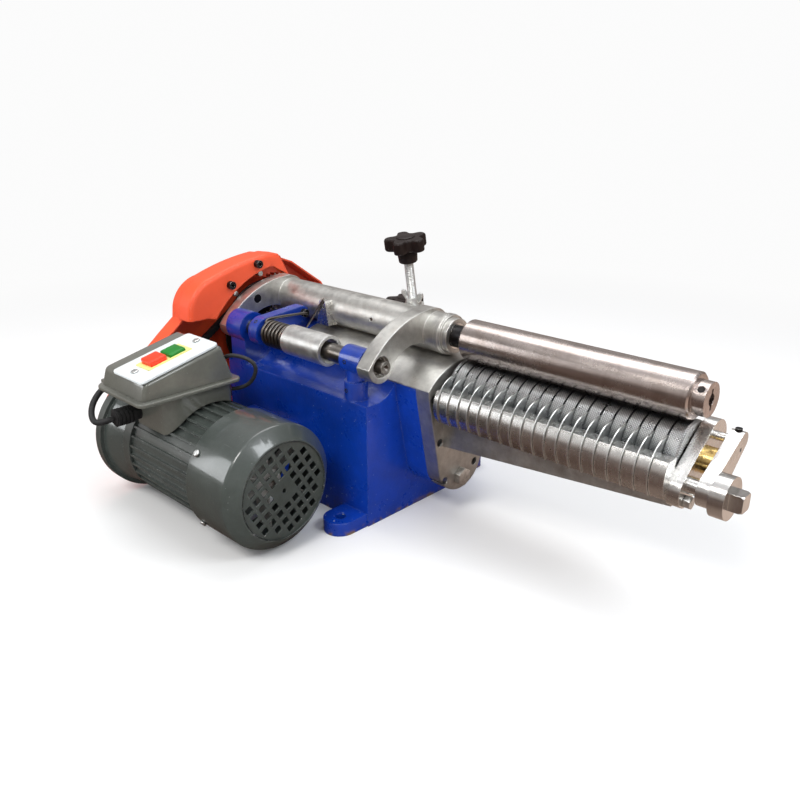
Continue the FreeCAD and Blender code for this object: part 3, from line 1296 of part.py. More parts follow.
def motor_bracket():
    """Cradle that carries the motor on the front wall of the bed."""
    sides = ("cradle_left", "cradle_right")
    across = ("motor_y + 20", "-bed_width / 2")
    heights = ("cradle_low", "cradle_high")
    cradle = box("cradle_block", sides, across, heights)
    hollow = on_motor("cradle_hollow", "stator_fin + 0.02", "cradle_left - 10", "cradle_right + 10")
    slot = box("cradle_slot", ("cradle_left + 8", "cradle_right - 8"), ("motor_y", "-bed_width / 2 - 8"),
               ("cradle_low - 10", "cradle_high + 6"))
    ring_part = ring("cradle_saddle", "stator_fin + 5", "stator_fin + 0.02", sides, "motor_y", "motor_z")
    shell_part = common("cradle_shell", ring_part, box("cradle_sector", sides, across, heights))
    body = cut("cradle_cut", cradle, [hollow, slot])
    return finish("motor_bracket", fuse("cradle_solid", [body, shell_part]))


# ---- switch box -------------------------------------------------------------------------

SLOPE_RUN = "(box_back - back_inset) - (box_front + top_inset)"
SLOPE_LEAN = Rotation(Vector(1, 0, 0), degrees(atan2(value("box_high - box_low"), value(SLOPE_RUN))))


def slope_place(thing, x, along, up):
    """Put a thing on the sloping top: along runs up the slope, up is away from it."""
    offset = SLOPE_LEAN.multVec(Vector(0, value(along), value(up)))
    y, z = f"box_front + top_inset + {offset.y:.6f}", f"box_low + {offset.z:.6f}"
    return place(thing, x, y, z, SLOPE_LEAN)


def on_slope(name, x_range, along, up):
    """A block on the sloping top."""
    block = doc.addObject("Part::Box", name)
    bind(block, "Length", f"({x_range[1]}) - ({x_range[0]})")
    bind(block, "Width", f"({along[1]}) - ({along[0]})")
    bind(block, "Height", f"({up[1]}) - ({up[0]})")
    return slope_place(block, x_range[0], along[0], up[0])


def switch_base():
    lip = profile("lip", "XY", [
        ("box_left - lip_margin", "box_front - lip_margin + 12", "16"),
        ("box_left - lip_margin + 12", "box_front - lip_margin"),
        ("box_right + lip_margin - 8", "box_front - lip_margin", "8"),
        ("box_right + lip_margin", "box_front - lip_margin + 8"),
        ("box_right + lip_margin", "box_back + lip_margin - 8", "8"),
        ("box_right + lip_margin - 8", "box_back + lip_margin"),
        ("box_left - lip_margin + 8", "box_back + lip_margin", "8"),
        ("box_left - lip_margin", "box_back + lip_margin - 8"),
    ], "box_floor - lip_thick", "lip_thick")
    tab = box("lip_tab", ("box_left - 14", "box_left"), ("box_front + 6", "box_front + 24"),
              ("box_floor - lip_thick", "box_floor"))
    block = profile("neck", "XY", [
        ("neck_left", "neck_front + 6", "6"),
        ("neck_left + 6", "neck_front"),
        ("neck_right - neck_round", "neck_front", "neck_round"),
        ("neck_right", "neck_front + neck_round"),
        ("neck_right", "neck_back - 6", "6"),
        ("neck_right - 6", "neck_back"),
        ("neck_left + 6", "neck_back", "6"),
        ("neck_left", "neck_back - 6"),
    ], "neck_low", "box_floor - lip_thick + 0.5 - neck_low")
    saddle = on_motor("neck_saddle", "stator_fin + 0.05", "neck_left - 1", "neck_right + 1")
    neck = cut("box_neck", block, [saddle])
    return finish("switch_base", fuse("switch_base_solid", [lip, tab, neck]))


def bezel_span(inset):
    """The bezel's outline along X and along the slope, drawn in by inset."""
    middle = "(cover_left + cover_right) / 2"
    across = (f"{middle} - bezel_width / 2 + {inset}", f"{middle} + bezel_width / 2 - {inset}")
    along = (f"bezel_low + {inset}", f"bezel_high - {inset}")
    return across, along


def button_span(low, inset):
    """A push button's outline: it starts at low and is drawn in by inset."""
    middle = "(cover_left + cover_right) / 2"
    across = (f"{middle} - button_width / 2 + {inset}", f"{middle} + button_width / 2 - {inset}")
    along = (f"{low} + {inset}", f"{low} + button_length - {inset}")
    return across, along


STOP_LOW = "(bezel_low + 5)"
START_LOW = "(bezel_high - 5 - button_length)"


def switch_housing():
    body = profile("switch_body", "YZ", [
        ("box_front", "box_floor"),
        ("box_back", "box_floor"),
        ("box_back - back_inset", "box_high"),
        ("box_front + top_inset", "box_low"),
    ], "box_left", "box_right - box_left")
    well = on_slope("switch_well", *bezel_span("0"), ("-bezel_depth - 1", "1"))
    return finish("switch_housing", cut("switch_body_cut", body, [well]))


def switch_cover():
    plate = on_slope("cover_plate", ("cover_left", "cover_right"), ("-4", "cover_length - 4"),
                     ("0", "cover_thick"))
    window = on_slope("cover_window", *bezel_span("0"), ("-1", "cover_thick + 1"))
    return finish("switch_cover", cut("cover_cut", plate, [window]))


def switch_bezel():
    frame = on_slope("bezel_frame", *bezel_span("button_fit"), ("-bezel_depth", "cover_thick + 1"))
    wells = [
        on_slope("stop_well", *button_span(STOP_LOW, "0"), ("-bezel_depth - 1", "cover_thick + 2")),
        on_slope("start_well", *button_span(START_LOW, "0"), ("-bezel_depth - 1", "cover_thick + 2")),
    ]
    return finish("switch_bezel", cut("bezel_cut", frame, wells))


def stop_button():
    key = on_slope("stop_key", *button_span(STOP_LOW, "button_fit"), ("-3", "cover_thick + 6"))
    return finish("stop_button", key)


def start_button():
    key = on_slope("start_key", *button_span(START_LOW, "button_fit"), ("-3", "cover_thick + 4"))
    return finish("start_button", key)


def cover_screws():
    heads = []
    for i, along in enumerate(("6", "76")):
        head = doc.addObject("Part::Cylinder", f"cover_screw_{i}")
        bind(head, "Radius", "3.6")
        bind(head, "Height", "1.6")
        heads.append(slope_place(head, "(cover_left + cover_right) / 2", along, "cover_thick"))
    for i, (x, y) in enumerate((("box_left - 9", "box_front + 15"), ("box_left - 3", "box_front + 10"))):
        heads.append(post(f"lip_screw_{i}", "2.4", x, y, ("box_floor", "box_floor + 1.8")))
    return finish("cover_screws", group("cover_screw_set", heads))


def cable_gland():
    """Ribbed gland that leaves the front of the box's neck."""
    root = "neck_front"
    parts = [cross("gland_body", "7.5", "gland_x", (root + " - 26", root), "gland_z")]
    for i in range(5):
        low = f"{root} - {25 - 4 * i}"
        parts.append(cross(f"gland_rib_{i}", "9", "gland_x", (low, low + " + 2.4"), "gland_z"))
    return finish("cable_gland", fuse("gland_solid", parts))


def lead(name, points, radius):
    """Round cable along a smooth curve."""
    path = Part.BSplineCurve()
    path.interpolate(points)
    spine = Part.Wire([path.toShape()])
    circle = Part.Circle(points[0], path.tangent(path.FirstParameter)[0], radius)
    cable = doc.addObject("Part::Feature", name)
    cable.Shape = spine.makePipeShell([Part.Wire([circle.toShape()])], True, True)
    return cable


def power_cable():
    """Lead looped out of the gland, and the short lead behind the switch box."""
    gland_loop = lead("gland_lead", [
        Vector(-73, -247.5, 115), Vector(-74.5, -256, 114), Vector(-84, -261, 113), Vector(-92, -259, 121),
        Vector(-96, -250, 133), Vector(-101, -236, 139), Vector(-105, -212, 139), Vector(-101, -188, 138),
        Vector(-90, -177, 136), Vector(-80.3, -175, 135),
    ], 3.0)
    back_loop = lead("back_lead", [
        Vector(-20, -148.3, 167), Vector(-4, -141, 169), Vector(8, -134, 161),
        Vector(5, -134, 148), Vector(-6, -139, 137), Vector(-16, -146.2, 134),
    ], 2.0)
    return finish("power_cable", group("lead_pair", [gland_loop, back_loop]))


# ---- belt guard -------------------------------------------------------------------------

def shell(name, corners, closed, opening):
    """Sheet cover seen along X: a wall at closed and a rim that runs to opening."""
    low, high = sorted((closed, opening), key=value)
    body = profile(name, "YZ", corners, low, f"({high}) - ({low})")
    doc.recompute()
    wall = value("guard_wall")
    face = Part.Face(body.Group[0].Shape.Wires[0]).makeOffset2D(-wall)
    depth = value(high) - value(low)
    shift = wall if value(closed) < value(opening) else -wall
    hollow = doc.addObject("Part::Feature", name + "_hollow")
    hollow.Shape = face.extrude(Vector(depth, 0, 0))
    hollow.Placement.Base.x = shift
    return cut(name + "_shell", body, [hollow])


def lower_guard():
    """Deep cover behind both pulleys, nested in the upper guard and open towards the bed."""
    inset = "guard_nest"
    return finish("lower_guard", shell("guard_tray", [
        ("-208", "106", "45"),
        ("-214", "62", "45"),
        ("motor_y", "26"),
        ("0", "50"),
        ("70", "66", "92"),
        ("99", "spindle_z", "92"),
        ("84", "188"),
        ("38", "220.5"),
        ("6.5", f"235.5 - {inset}"),
        ("-9", f"238.5 - {inset}", "300"),
        (f"-88.5 + {inset}", f"222 - {inset}", "40"),
        (f"-121 + {inset}", f"192 - {inset}"),
        (f"-122.5 + {inset}", "177"),
        ("-140", "161.5"),
    ], "guard_back", "tray_seam"))


def hood_outline():
    """The hood's outer edge, from its right end over the top to its left foot."""
    return [
        ("6.5", "235.5"),
        ("-9", "238.5", "300"),
        ("-88.5", "222", "42"),
        ("-121", "192"),
    ]


def upper_guard():
    """Front cover: a sheet that arches over the rear arm lug, with a rim along the hood."""
    arch = [
        ("-122.5", "177.5"),
        ("-98.7", "177.4"),
        ("-88", "174.5", "-125"),
        ("-6", "223.5"),
        ("5", "213.5"),
        ("20", "208"),
    ]
    depth = "guard_face - (guard_seam)"
    band = profile("guard_band", "YZ", arch + hood_outline(), "guard_seam", depth)
    wall = "guard_wall"
    hollow = profile("guard_band_hollow", "YZ", [
        (f"-122.5 + {wall}", "100"),
        ("60", "100"),
        ("60", "228"),
        ("6.5", f"235.5 - {wall}"),
        ("-9", f"238.5 - {wall}", f"300 - {wall}"),
        (f"-88.5 + 0.6 * {wall}", f"222 - {wall}", f"42 - {wall}"),
        (f"-121 + {wall}", f"192 - 0.2 * {wall}"),
        (f"-122.5 + {wall}", "177.5"),
    ], "guard_seam - 1", f"{depth} + 1 - guard_wall")
    return finish("upper_guard", cut("guard_band_cut", band, [hollow]))


# Places seen along X: across and above the floor
GUARD_SCREWS = (("-66.8", "210.5"), ("-28", "229"))
GUARD_PINS = (("-58", "198.5"), ("-22", "216.5"))
GUARD_POSTS = (("76", "92"), ("-62", "90"))


def guard_screws():
    caps = []
    for i, (y, z) in enumerate(GUARD_SCREWS):
        head = rod(f"guard_screw_{i}", "guard_post", ("guard_face", "guard_face + 6"), y, z)
        socket = prism(f"guard_socket_{i}", 6, "2.6", ("guard_face + 3", "guard_face + 7"), y, z)
        caps.append(cut(f"guard_cap_{i}", head, [socket]))
    return finish("guard_screws", group("guard_screw_pair", caps))


def guard_standoffs():
    inner = "guard_back + guard_wall"
    sheet_back = "guard_face - guard_wall"
    posts = []
    for i, (y, z) in enumerate(GUARD_SCREWS):
        posts.append(rod(f"guard_spacer_{i}", "guard_spacer", (inner, sheet_back), y, z))
    for i, (y, z) in enumerate(GUARD_PINS):
        posts.append(rod(f"guard_pin_{i}", "guard_pin", (inner, sheet_back), y, z))
    for i, (y, z) in enumerate(GUARD_POSTS):
        posts.append(rod(f"guard_post_{i}", "guard_post", (inner, "-bed_length / 2"), y, z))
    return finish("guard_standoffs", group("guard_spacer_set", posts))


# ---- build, check and write -------------------------------------------------------------

def driven_gears():
    return [gear("drive_gear", 30, "spindle_radius", "spindle_z", 0.5),
            gear("driven_gear", 20, "journal_radius", UPPER_Z, 0)]


def build():
    makers = (
        bed_casting, spindle_housing, flange_bolt, spindle_bearings, lower_roller, drive_spindle,
        upper_roller, boss_screw, upper_shaft, upper_bushes, main_pulley, v_belt, stripper_fins,
        guide_bar, support_beam, outboard_plate, brass_bush, tie_pin, outboard_link,
        outboard_screws, adjusting_spindle, spindle_spacer, plate_nut, hinge_shaft, spring_sleeve,
        spring_lever,
        lever_screw, torsion_spring, arm_casting, arm_plug, prop_bracket, prop_rod, adjuster_knob,
        adjuster_rod, wing_nut, rear_stud, rear_knob, motor_stator, motor_end_bell,
        motor_rotor_shaft, motor_fan, fan_cowl, cowl_screws, motor_pulley, motor_bracket,
        switch_base, switch_housing, switch_cover, switch_bezel, start_button, stop_button,
        cover_screws, cable_gland, power_cable, lower_guard, upper_guard, guard_screws,
        guard_standoffs,
    )
    return [maker() for maker in makers] + driven_gears()


def check(nodes):
    """Stop if anything in the document failed or a sub-part is empty or broken."""
    failed = [thing.Name for thing in doc.Objects if {"Invalid", "Error"} & set(thing.State)]
    if failed:
        raise RuntimeError("failed objects: " + ", ".join(failed))
    for node in nodes:
        if node.Shape.isNull() or not node.Shape.isValid() or not node.Shape.Solids:
            raise RuntimeError("bad shape: " + node.Label)


nodes = build()
doc.recompute()
check(nodes)
os.makedirs("parts", exist_ok=True)
for node in nodes:
    node.Shape.exportStep(f"parts/{node.Label}.step")
print(len(nodes), "sub-parts written")
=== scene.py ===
import json
from math import cos, hypot, pi, radians, sin, sqrt

import bmesh
import bpy
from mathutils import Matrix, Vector


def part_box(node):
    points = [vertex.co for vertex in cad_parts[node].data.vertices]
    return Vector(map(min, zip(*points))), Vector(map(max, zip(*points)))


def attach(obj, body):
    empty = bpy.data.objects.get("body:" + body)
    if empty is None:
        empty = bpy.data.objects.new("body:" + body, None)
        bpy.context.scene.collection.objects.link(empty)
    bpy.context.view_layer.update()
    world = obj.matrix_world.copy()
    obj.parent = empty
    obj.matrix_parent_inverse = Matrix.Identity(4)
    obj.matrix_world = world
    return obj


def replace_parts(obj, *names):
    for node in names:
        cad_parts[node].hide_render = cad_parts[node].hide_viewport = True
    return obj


# Looks of a motor-driven twin-roller coating head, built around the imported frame.
# The frame's own axes in metres: +X along the rollers, -Y the motor side, +Z up.
# Sizes written as plain numbers are millimetres and MM turns them into metres;
# only the stage at the end is laid out in metres.

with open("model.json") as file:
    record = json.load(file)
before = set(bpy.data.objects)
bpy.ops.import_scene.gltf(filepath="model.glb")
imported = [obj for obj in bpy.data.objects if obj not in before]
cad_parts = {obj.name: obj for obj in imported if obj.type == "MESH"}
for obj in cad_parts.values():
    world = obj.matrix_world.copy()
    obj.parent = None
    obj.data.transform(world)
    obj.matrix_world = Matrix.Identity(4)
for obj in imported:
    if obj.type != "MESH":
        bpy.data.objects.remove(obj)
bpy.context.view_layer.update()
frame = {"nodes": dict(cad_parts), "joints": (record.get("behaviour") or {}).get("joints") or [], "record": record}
NODES = frame["nodes"]
AXES = {joint["name"]: joint for joint in frame["joints"]}
SLOT_OF = {part["node"]: part["material_slot"] for part in frame["record"]["subparts"]}
BODY_OF = {node: body for body, members in frame["record"]["behaviour"]["bodies"].items()
           for node in members}
MM = 0.001

# Sockets of a colour Mix node, which has several of each name.
FACTOR, BELOW, ABOVE, MIXED = 0, 6, 7, 2


# ---- node trees -------------------------------------------------------------------------

class Nodes:
    """Adds shader nodes to a tree and links them."""

    def __init__(self, tree):
        self.tree = tree

    def feed(self, socket, value):
        """Link a socket to another one, or set it to a plain value."""
        if isinstance(value, bpy.types.NodeSocket):
            self.tree.links.new(value, socket)
        else:
            socket.default_value = value

    def node(self, kind, settings=None, **inputs):
        """Add a node with its settings and its named inputs."""
        item = self.tree.nodes.new(kind)
        for key, value in (settings or {}).items():
            setattr(item, key, value)
        for key, value in inputs.items():
            self.feed(item.inputs[key.replace("_", " ")], value)
        return item

    def pair(self, kind, operation, first, second):
        """A math node of two inputs."""
        item = self.node(kind, {"operation": operation})
        self.feed(item.inputs[0], first)
        self.feed(item.inputs[1], second)
        return item

    def math(self, operation, first, second=0.0):
        return self.pair("ShaderNodeMath", operation, first, second).outputs["Value"]

    def both(self, first, second):
        """1 where both masks are 1."""
        return self.math("MULTIPLY", first, second)

    def level(self, value, low, high, to_low=0.0, to_high=1.0):
        """Stretch the span from low to high over the span from to_low to to_high."""
        item = self.node("ShaderNodeMapRange", Value=value, From_Min=low, From_Max=high,
                         To_Min=to_low, To_Max=to_high)
        return item.outputs["Result"]

    def mix(self, factor, below, above, blend_type="MIX"):
        """Colour below, turning into the one above as factor goes to 1."""
        item = self.node("ShaderNodeMix", {"data_type": "RGBA", "blend_type": blend_type})
        self.feed(item.inputs[FACTOR], factor)
        self.feed(item.inputs[BELOW], below)
        self.feed(item.inputs[ABOVE], above)
        return item.outputs[MIXED]


def opaque(colour):
    """A colour with full alpha."""
    return colour + (1.0,)


# ---- materials --------------------------------------------------------------------------

PAINTED, BARE_METAL = 0.0, 1.0
NOISE_LOW, NOISE_HIGH = 0.3, 0.7  # most noise stays between these
ROUGH_LOW, ROUGH_HIGH = 0.35, 0.75  # noise span that sets the roughness patches
FLAT, SHARP = 0.995, 0.90  # cosine between rounded and true normal, on a face and on an edge


class Finish(Nodes):
    """One material, built up around a Principled shader in the frame's own coordinates."""

    def __init__(self, name, rounding, colour, metal, rough):
        self.material = bpy.data.materials.new(name)
        self.material.use_nodes = True
        super().__init__(self.material.node_tree)
        self.shader = self.tree.nodes["Principled BSDF"]
        self.place = self.node("ShaderNodeTexCoord").outputs["Object"]
        self.colour = opaque(colour)
        self.rough = rough
        self.metal = metal
        bevel = self.node("ShaderNodeBevel", Radius=rounding * MM)
        bevel.samples = 4
        self.normal = bevel.outputs["Normal"]
        true_normal = self.node("ShaderNodeNewGeometry").outputs["Normal"]
        bend = self.pair("ShaderNodeVectorMath", "DOT_PRODUCT", self.normal, true_normal)
        self.edge = self.level(bend.outputs["Value"], FLAT, SHARP)

    def stretch(self, x, y, z):
        """Coordinates squeezed along some axes, so that a texture runs in streaks."""
        return self.pair("ShaderNodeVectorMath", "MULTIPLY", self.place, (x, y, z)).outputs["Vector"]

    def axis(self, letter):
        """Position along X, Y or Z in metres."""
        return self.node("ShaderNodeSeparateXYZ", Vector=self.place).outputs[letter]

    def noise(self, size, detail, place=None):
        """Noise whose blobs are about size millimetres wide."""
        item = self.node("ShaderNodeTexNoise", Scale=1 / (size * MM), Detail=detail, Roughness=0.6)
        self.feed(item.inputs["Vector"], place or self.place)
        return item.outputs["Fac"]

    def patches(self, size, detail, low, high):
        """1 inside scattered patches, 0 between them."""
        return self.level(self.noise(size, detail), low, high)

    def worn(self, size, detail, low, high):
        """Edges, broken up into patches."""
        return self.both(self.edge, self.patches(size, detail, low, high))

    def specks(self, spacing, rim, core):
        """Round specks; rim and core are shares of the spacing."""
        item = self.node("ShaderNodeTexVoronoi", {"feature": "F1"}, Scale=1 / (spacing * MM))
        self.feed(item.inputs["Vector"], self.place)
        return self.level(item.outputs["Distance"], rim, core)

    def blend(self, factor, colour, amount=1.0):
        """Lay an amount of a colour over what is there, where factor says so."""
        self.colour = self.mix(self.both(factor, amount), self.colour, opaque(colour))

    def tone(self, factor, low, high):
        """Multiply the colour by low to high as factor goes from low noise to high."""
        amount = self.level(factor, NOISE_LOW, NOISE_HIGH, low, high)
        grey = self.node("ShaderNodeCombineXYZ", X=amount, Y=amount, Z=amount).outputs["Vector"]
        self.colour = self.mix(1.0, self.colour, grey, "MULTIPLY")

    def mottle(self, size, detail, low, high):
        """Clouds of darker and lighter colour."""
        self.tone(self.noise(size, detail), low, high)

    def roughen(self, factor, amount):
        """Add to the roughness where factor says so."""
        self.rough = self.math("ADD", self.rough, self.both(factor, amount))

    def bump(self, height, depth, strength=1.0):
        """Raise the surface by depth millimetres where height is 1."""
        item = self.node("ShaderNodeBump", Height=height, Distance=depth * MM, Strength=strength)
        self.feed(item.inputs["Normal"], self.normal)
        self.normal = item.outputs["Normal"]

    def done(self, **extra):
        """Link what has been built to the shader and hand over the material."""
        self.feed(self.shader.inputs["Base Color"], self.colour)
        self.feed(self.shader.inputs["Roughness"], self.rough)
        self.feed(self.shader.inputs["Metallic"], self.metal)
        self.feed(self.shader.inputs["Normal"], self.normal)
        for key, value in extra.items():
            self.feed(self.shader.inputs[key.replace("_", " ")], value)
        return self.material


RUST = (0.20, 0.12, 0.07)
GRIME = (0.16, 0.12, 0.09)
# Light metal colour painted along edges as a highlight.
EDGE_HIGHLIGHT_METAL = (0.9, 0.89, 0.86)
OIL = (0.05, 0.05, 0.05)


def blue_paint():
    """Thick glossy enamel over a rough casting, scuffed and rusty along the foot."""
    rubbed, dust, iron = (0.08, 0.17, 0.50), (0.45, 0.55, 0.80), (0.55, 0.58, 0.62)
    finish = Finish("blue_enamel", 2.4, (0.002, 0.035, 0.315), PAINTED, 0.26)
    finish.mottle(70, 3, 0.78, 1.22)
    finish.mottle(12, 5, 0.92, 1.08)
    finish.blend(finish.worn(7, 7, 0.50, 0.66), rubbed, 0.35)
    finish.blend(finish.specks(7, 0.08, 0.03), dust, 0.55)
    foot = finish.level(finish.axis("Z"), 6 * MM, 1.5 * MM)
    finish.blend(finish.both(foot, finish.patches(9, 8, 0.46, 0.60)), RUST)
    low_down = finish.level(finish.axis("Z"), 40 * MM, 8 * MM)
    finish.blend(finish.both(low_down, finish.patches(5, 9, 0.68, 0.70)), iron)
    finish.roughen(finish.patches(30, 5, ROUGH_LOW, ROUGH_HIGH), 0.12)
    finish.bump(finish.noise(3.0, 2), 0.14)
    finish.bump(finish.noise(24, 3), 0.9, 0.8)
    return finish.done(Coat_Weight=0.7, Coat_Roughness=0.10)


def orange_paint():
    """Satin orange of the belt guard, pinker where it faces the machine."""
    pinker, rubbed, dirt = (0.95, 0.18, 0.08), (0.98, 0.42, 0.28), (0.42, 0.07, 0.03)
    finish = Finish("guard_orange", 2.0, (0.89, 0.086, 0.022), PAINTED, 0.42)
    finish.mottle(50, 3, 0.92, 1.07)
    hood_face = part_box("upper_guard")[1].x
    front = finish.level(finish.axis("X"), hood_face - 0.7 * MM, hood_face - 0.1 * MM)
    finish.blend(front, pinker, 0.12)
    finish.blend(finish.worn(5, 7, 0.52, 0.66), rubbed, 0.35)
    finish.blend(finish.patches(16, 7, 0.60, 0.75), dirt, 0.22)
    finish.roughen(finish.noise(20, 5), 0.15)
    finish.bump(finish.noise(2.5, 3), 0.08)
    finish.bump(finish.noise(40, 2), 0.8, 0.5)
    return finish.done(Coat_Weight=0.1, Coat_Roughness=0.3)


def cast_aluminium(name="cast_aluminium", colour=(0.60, 0.59, 0.56), grain=1.0):
    """Sand-cast and wire-brushed: grainy and cloudy, with a painted highlight along the edges."""
    pit, stain, bright = (0.20, 0.18, 0.16), (0.32, 0.27, 0.22), (0.88, 0.87, 0.84)
    finish = Finish(name, 1.6, colour, 0.94, 0.32)
    finish.mottle(38, 5, 0.78, 1.16)
    finish.mottle(6, 7, 0.88, 1.10)
    finish.blend(finish.specks(3.2, 0.16, 0.05), pit, 0.42)
    finish.blend(finish.patches(20, 8, 0.56, 0.72), stain, 0.32)
    # Painted highlight: every edge is lightened evenly.
    finish.blend(finish.edge, bright, 0.6)
    finish.roughen(finish.patches(12, 6, ROUGH_LOW, 0.7), 0.16)
    finish.bump(finish.noise(1.3, 3), 0.10 * grain)
    finish.bump(finish.noise(6, 4), 0.30 * grain, 0.8)
    finish.bump(finish.noise(30, 2), 0.8, 0.5)
    return finish.done()


def turned(name, colour, rough, dirt=0.3, depth=0.02):
    """Metal turned around an axis along X: fine rings, stains and a painted highlight along the edges."""
    finish = Finish(name, 0.5, colour, BARE_METAL, rough)
    rings = finish.noise(0.35, 3, finish.stretch(1.0, 0.02, 0.02))
    finish.tone(rings, 0.86, 1.10)
    finish.mottle(60, 4, 0.86, 1.10)
    finish.blend(finish.patches(15, 8, 0.55, 0.72), GRIME, dirt)
    # Painted highlight: every edge is lightened evenly.
    finish.blend(finish.edge, EDGE_HIGHLIGHT_METAL, 0.5)
    finish.roughen(finish.patches(9, 3, ROUGH_LOW, 0.7), 0.06)
    finish.bump(rings, depth)
    return finish.done(Anisotropic=0.4)


def knurled():
    """Diamond knurl around the lower roller, oily in the hollows, with painted shade where the fins and the bar
    crowd it.
    """
    knurl, shine, painted_shade = 1.6 * MM, (0.97, 0.97, 0.95), (0.02, 0.025, 0.03)
    finish = Finish("knurled_steel", 0.5, (0.74, 0.76, 0.77), BARE_METAL, 0.25)
    low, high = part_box("lower_roller")
    centre = (low + high) / 2
    across = finish.math("SUBTRACT", finish.axis("Y"), centre.y)
    up = finish.math("SUBTRACT", finish.axis("Z"), centre.z)
    turn = finish.math("ARCTAN2", across, up)
    around = finish.math("MULTIPLY", turn, (high.z - low.z) / 2)
    waves = []
    for lean in (-1, 1):
        slant = finish.math("ADD", finish.math("MULTIPLY", finish.axis("X"), lean), around)
        waves.append(finish.math("SINE", finish.math("MULTIPLY", slant, 2 * pi / knurl / sqrt(2))))
    crest = finish.math("MAXIMUM", waves[0], waves[1])
    valley = finish.level(crest, 0.9, 0.1)
    finish.mottle(30, 4, 0.85, 1.1)
    finish.blend(valley, shine, 0.25)
    finish.blend(finish.level(crest, 0.3, 1.0), OIL, 0.6)
    # Painted shade: the knurl is darkened where ambient occlusion finds the fins and the bar close by.
    open_sky = finish.node("ShaderNodeAmbientOcclusion", {"samples": 6}, Distance=16 * MM).outputs["AO"]
    finish.blend(finish.level(open_sky, 0.80, 0.35), painted_shade, 0.9)
    finish.roughen(finish.noise(10, 3), 0.06)
    finish.bump(valley, 0.30)
    return finish.done()


def polished_roller():
    """Ground and polished, with faint rings, smears and brown stains, and a brown tint that is a painted
    reflection of the ground.
    """
    stain = (0.30, 0.23, 0.19)
    # The base colour's brown tint is a painted reflection of the brown ground below the roller.
    finish = Finish("polished_steel", 0.8, (0.56, 0.49, 0.46), BARE_METAL, 0.20)
    rings = finish.noise(0.5, 3, finish.stretch(1.0, 0.02, 0.02))
    streaks = finish.noise(7, 5, finish.stretch(0.12, 1.0, 1.0))
    finish.tone(streaks, 0.80, 1.12)
    finish.tone(rings, 0.92, 1.06)
    finish.blend(finish.patches(22, 7, 0.52, 0.72), stain, 0.45)
    finish.roughen(finish.patches(14, 3, NOISE_LOW, ROUGH_HIGH), 0.07)
    finish.roughen(streaks, 0.06)
    finish.bump(rings, 0.015)
    finish.bump(finish.noise(5, 4), 0.04)
    return finish.done(Anisotropic=0.3)


def fin_steel():
    """Bright sheet steel with sheared edges."""
    stain = (0.25, 0.22, 0.2)
    finish = Finish("fin_steel", 0.3, (0.88, 0.90, 0.89), BARE_METAL, 0.20)
    finish.mottle(8, 5, 0.80, 1.1)
    finish.blend(finish.patches(5, 6, 0.56, 0.7), stain, 0.3)
    finish.roughen(finish.noise(6, 4), 0.2)
    finish.bump(finish.noise(1.0, 3), 0.03)
    return finish.done()


def plastic(name, colour, rough, rounding=0.8, dust=0.3, grain=0.03, shine=0.5):
    """Moulded plastic with a fine skin, dust and faint scratches."""
    light = tuple(min(1.0, part * 0.8 + 0.22) for part in colour)
    finish = Finish(name, rounding, colour, PAINTED, rough)
    finish.mottle(14, 4, 0.93, 1.06)
    finish.blend(finish.patches(3, 8, 0.60, 0.72), light, dust)
    scratch = finish.noise(0.9, 2, finish.stretch(0.05, 1.0, 1.0))
    finish.blend(finish.level(scratch, 0.70, 0.76), light, dust)
    finish.roughen(finish.noise(8, 4), 0.14)
    finish.bump(finish.noise(0.8, 2), grain)
    return finish.done(Coat_Weight=shine * 0.4, Coat_Roughness=0.15, Specular_IOR_Level=shine)


def rubber(name):
    """Dull black rubber with dust in it."""
    dust = (0.12, 0.11, 0.1)
    finish = Finish(name, 0.4, (0.012, 0.012, 0.013), PAINTED, 0.55)
    finish.mottle(6, 5, 0.8, 1.3)
    finish.blend(finish.patches(4, 8, 0.58, 0.75), dust, 0.3)
    finish.roughen(finish.noise(5, 4), 0.2)
    finish.bump(finish.noise(0.7, 3), 0.05)
    return finish.done()


def motor_paint(name, colour, rough):
    """Dark enamel, lighter where hands and tools have rubbed it."""
    rubbed, bare = (0.20, 0.21, 0.20), (0.52, 0.52, 0.50)
    scratched, dust = (0.22, 0.23, 0.22), (0.35, 0.36, 0.34)
    finish = Finish(name, 1.2, colour, PAINTED, rough)
    finish.mottle(55, 4, 0.82, 1.2)
    finish.mottle(5, 6, 0.92, 1.08)
    finish.blend(finish.worn(5, 7, 0.44, 0.62), rubbed, 0.5)
    finish.blend(finish.worn(4, 9, 0.63, 0.66), bare)
    scratch = finish.noise(1.6, 3, finish.stretch(0.06, 1.0, 1.0))
    finish.blend(finish.level(scratch, 0.72, 0.78), scratched, 0.35)
    finish.blend(finish.specks(6, 0.07, 0.03), dust, 0.6)
    finish.roughen(finish.patches(20, 5, ROUGH_LOW, ROUGH_HIGH), 0.12)
    finish.bump(finish.noise(2.0, 2), 0.10)
    finish.bump(finish.noise(16, 3), 0.3, 0.6)
    return finish.done(Coat_Weight=0.85, Coat_Roughness=0.10)


def zinc(name, colour):
    """Bright plating, cloudy and stained."""
    stain = (0.30, 0.27, 0.22)
    finish = Finish(name, 0.5, colour, BARE_METAL, 0.28)
    finish.mottle(4, 6, 0.75, 1.15)
    finish.blend(finish.patches(6, 8, 0.55, 0.70), stain, 0.4)
    finish.roughen(finish.noise(3, 5), 0.22)
    finish.bump(finish.noise(0.9, 3), 0.03)
    return finish.done()


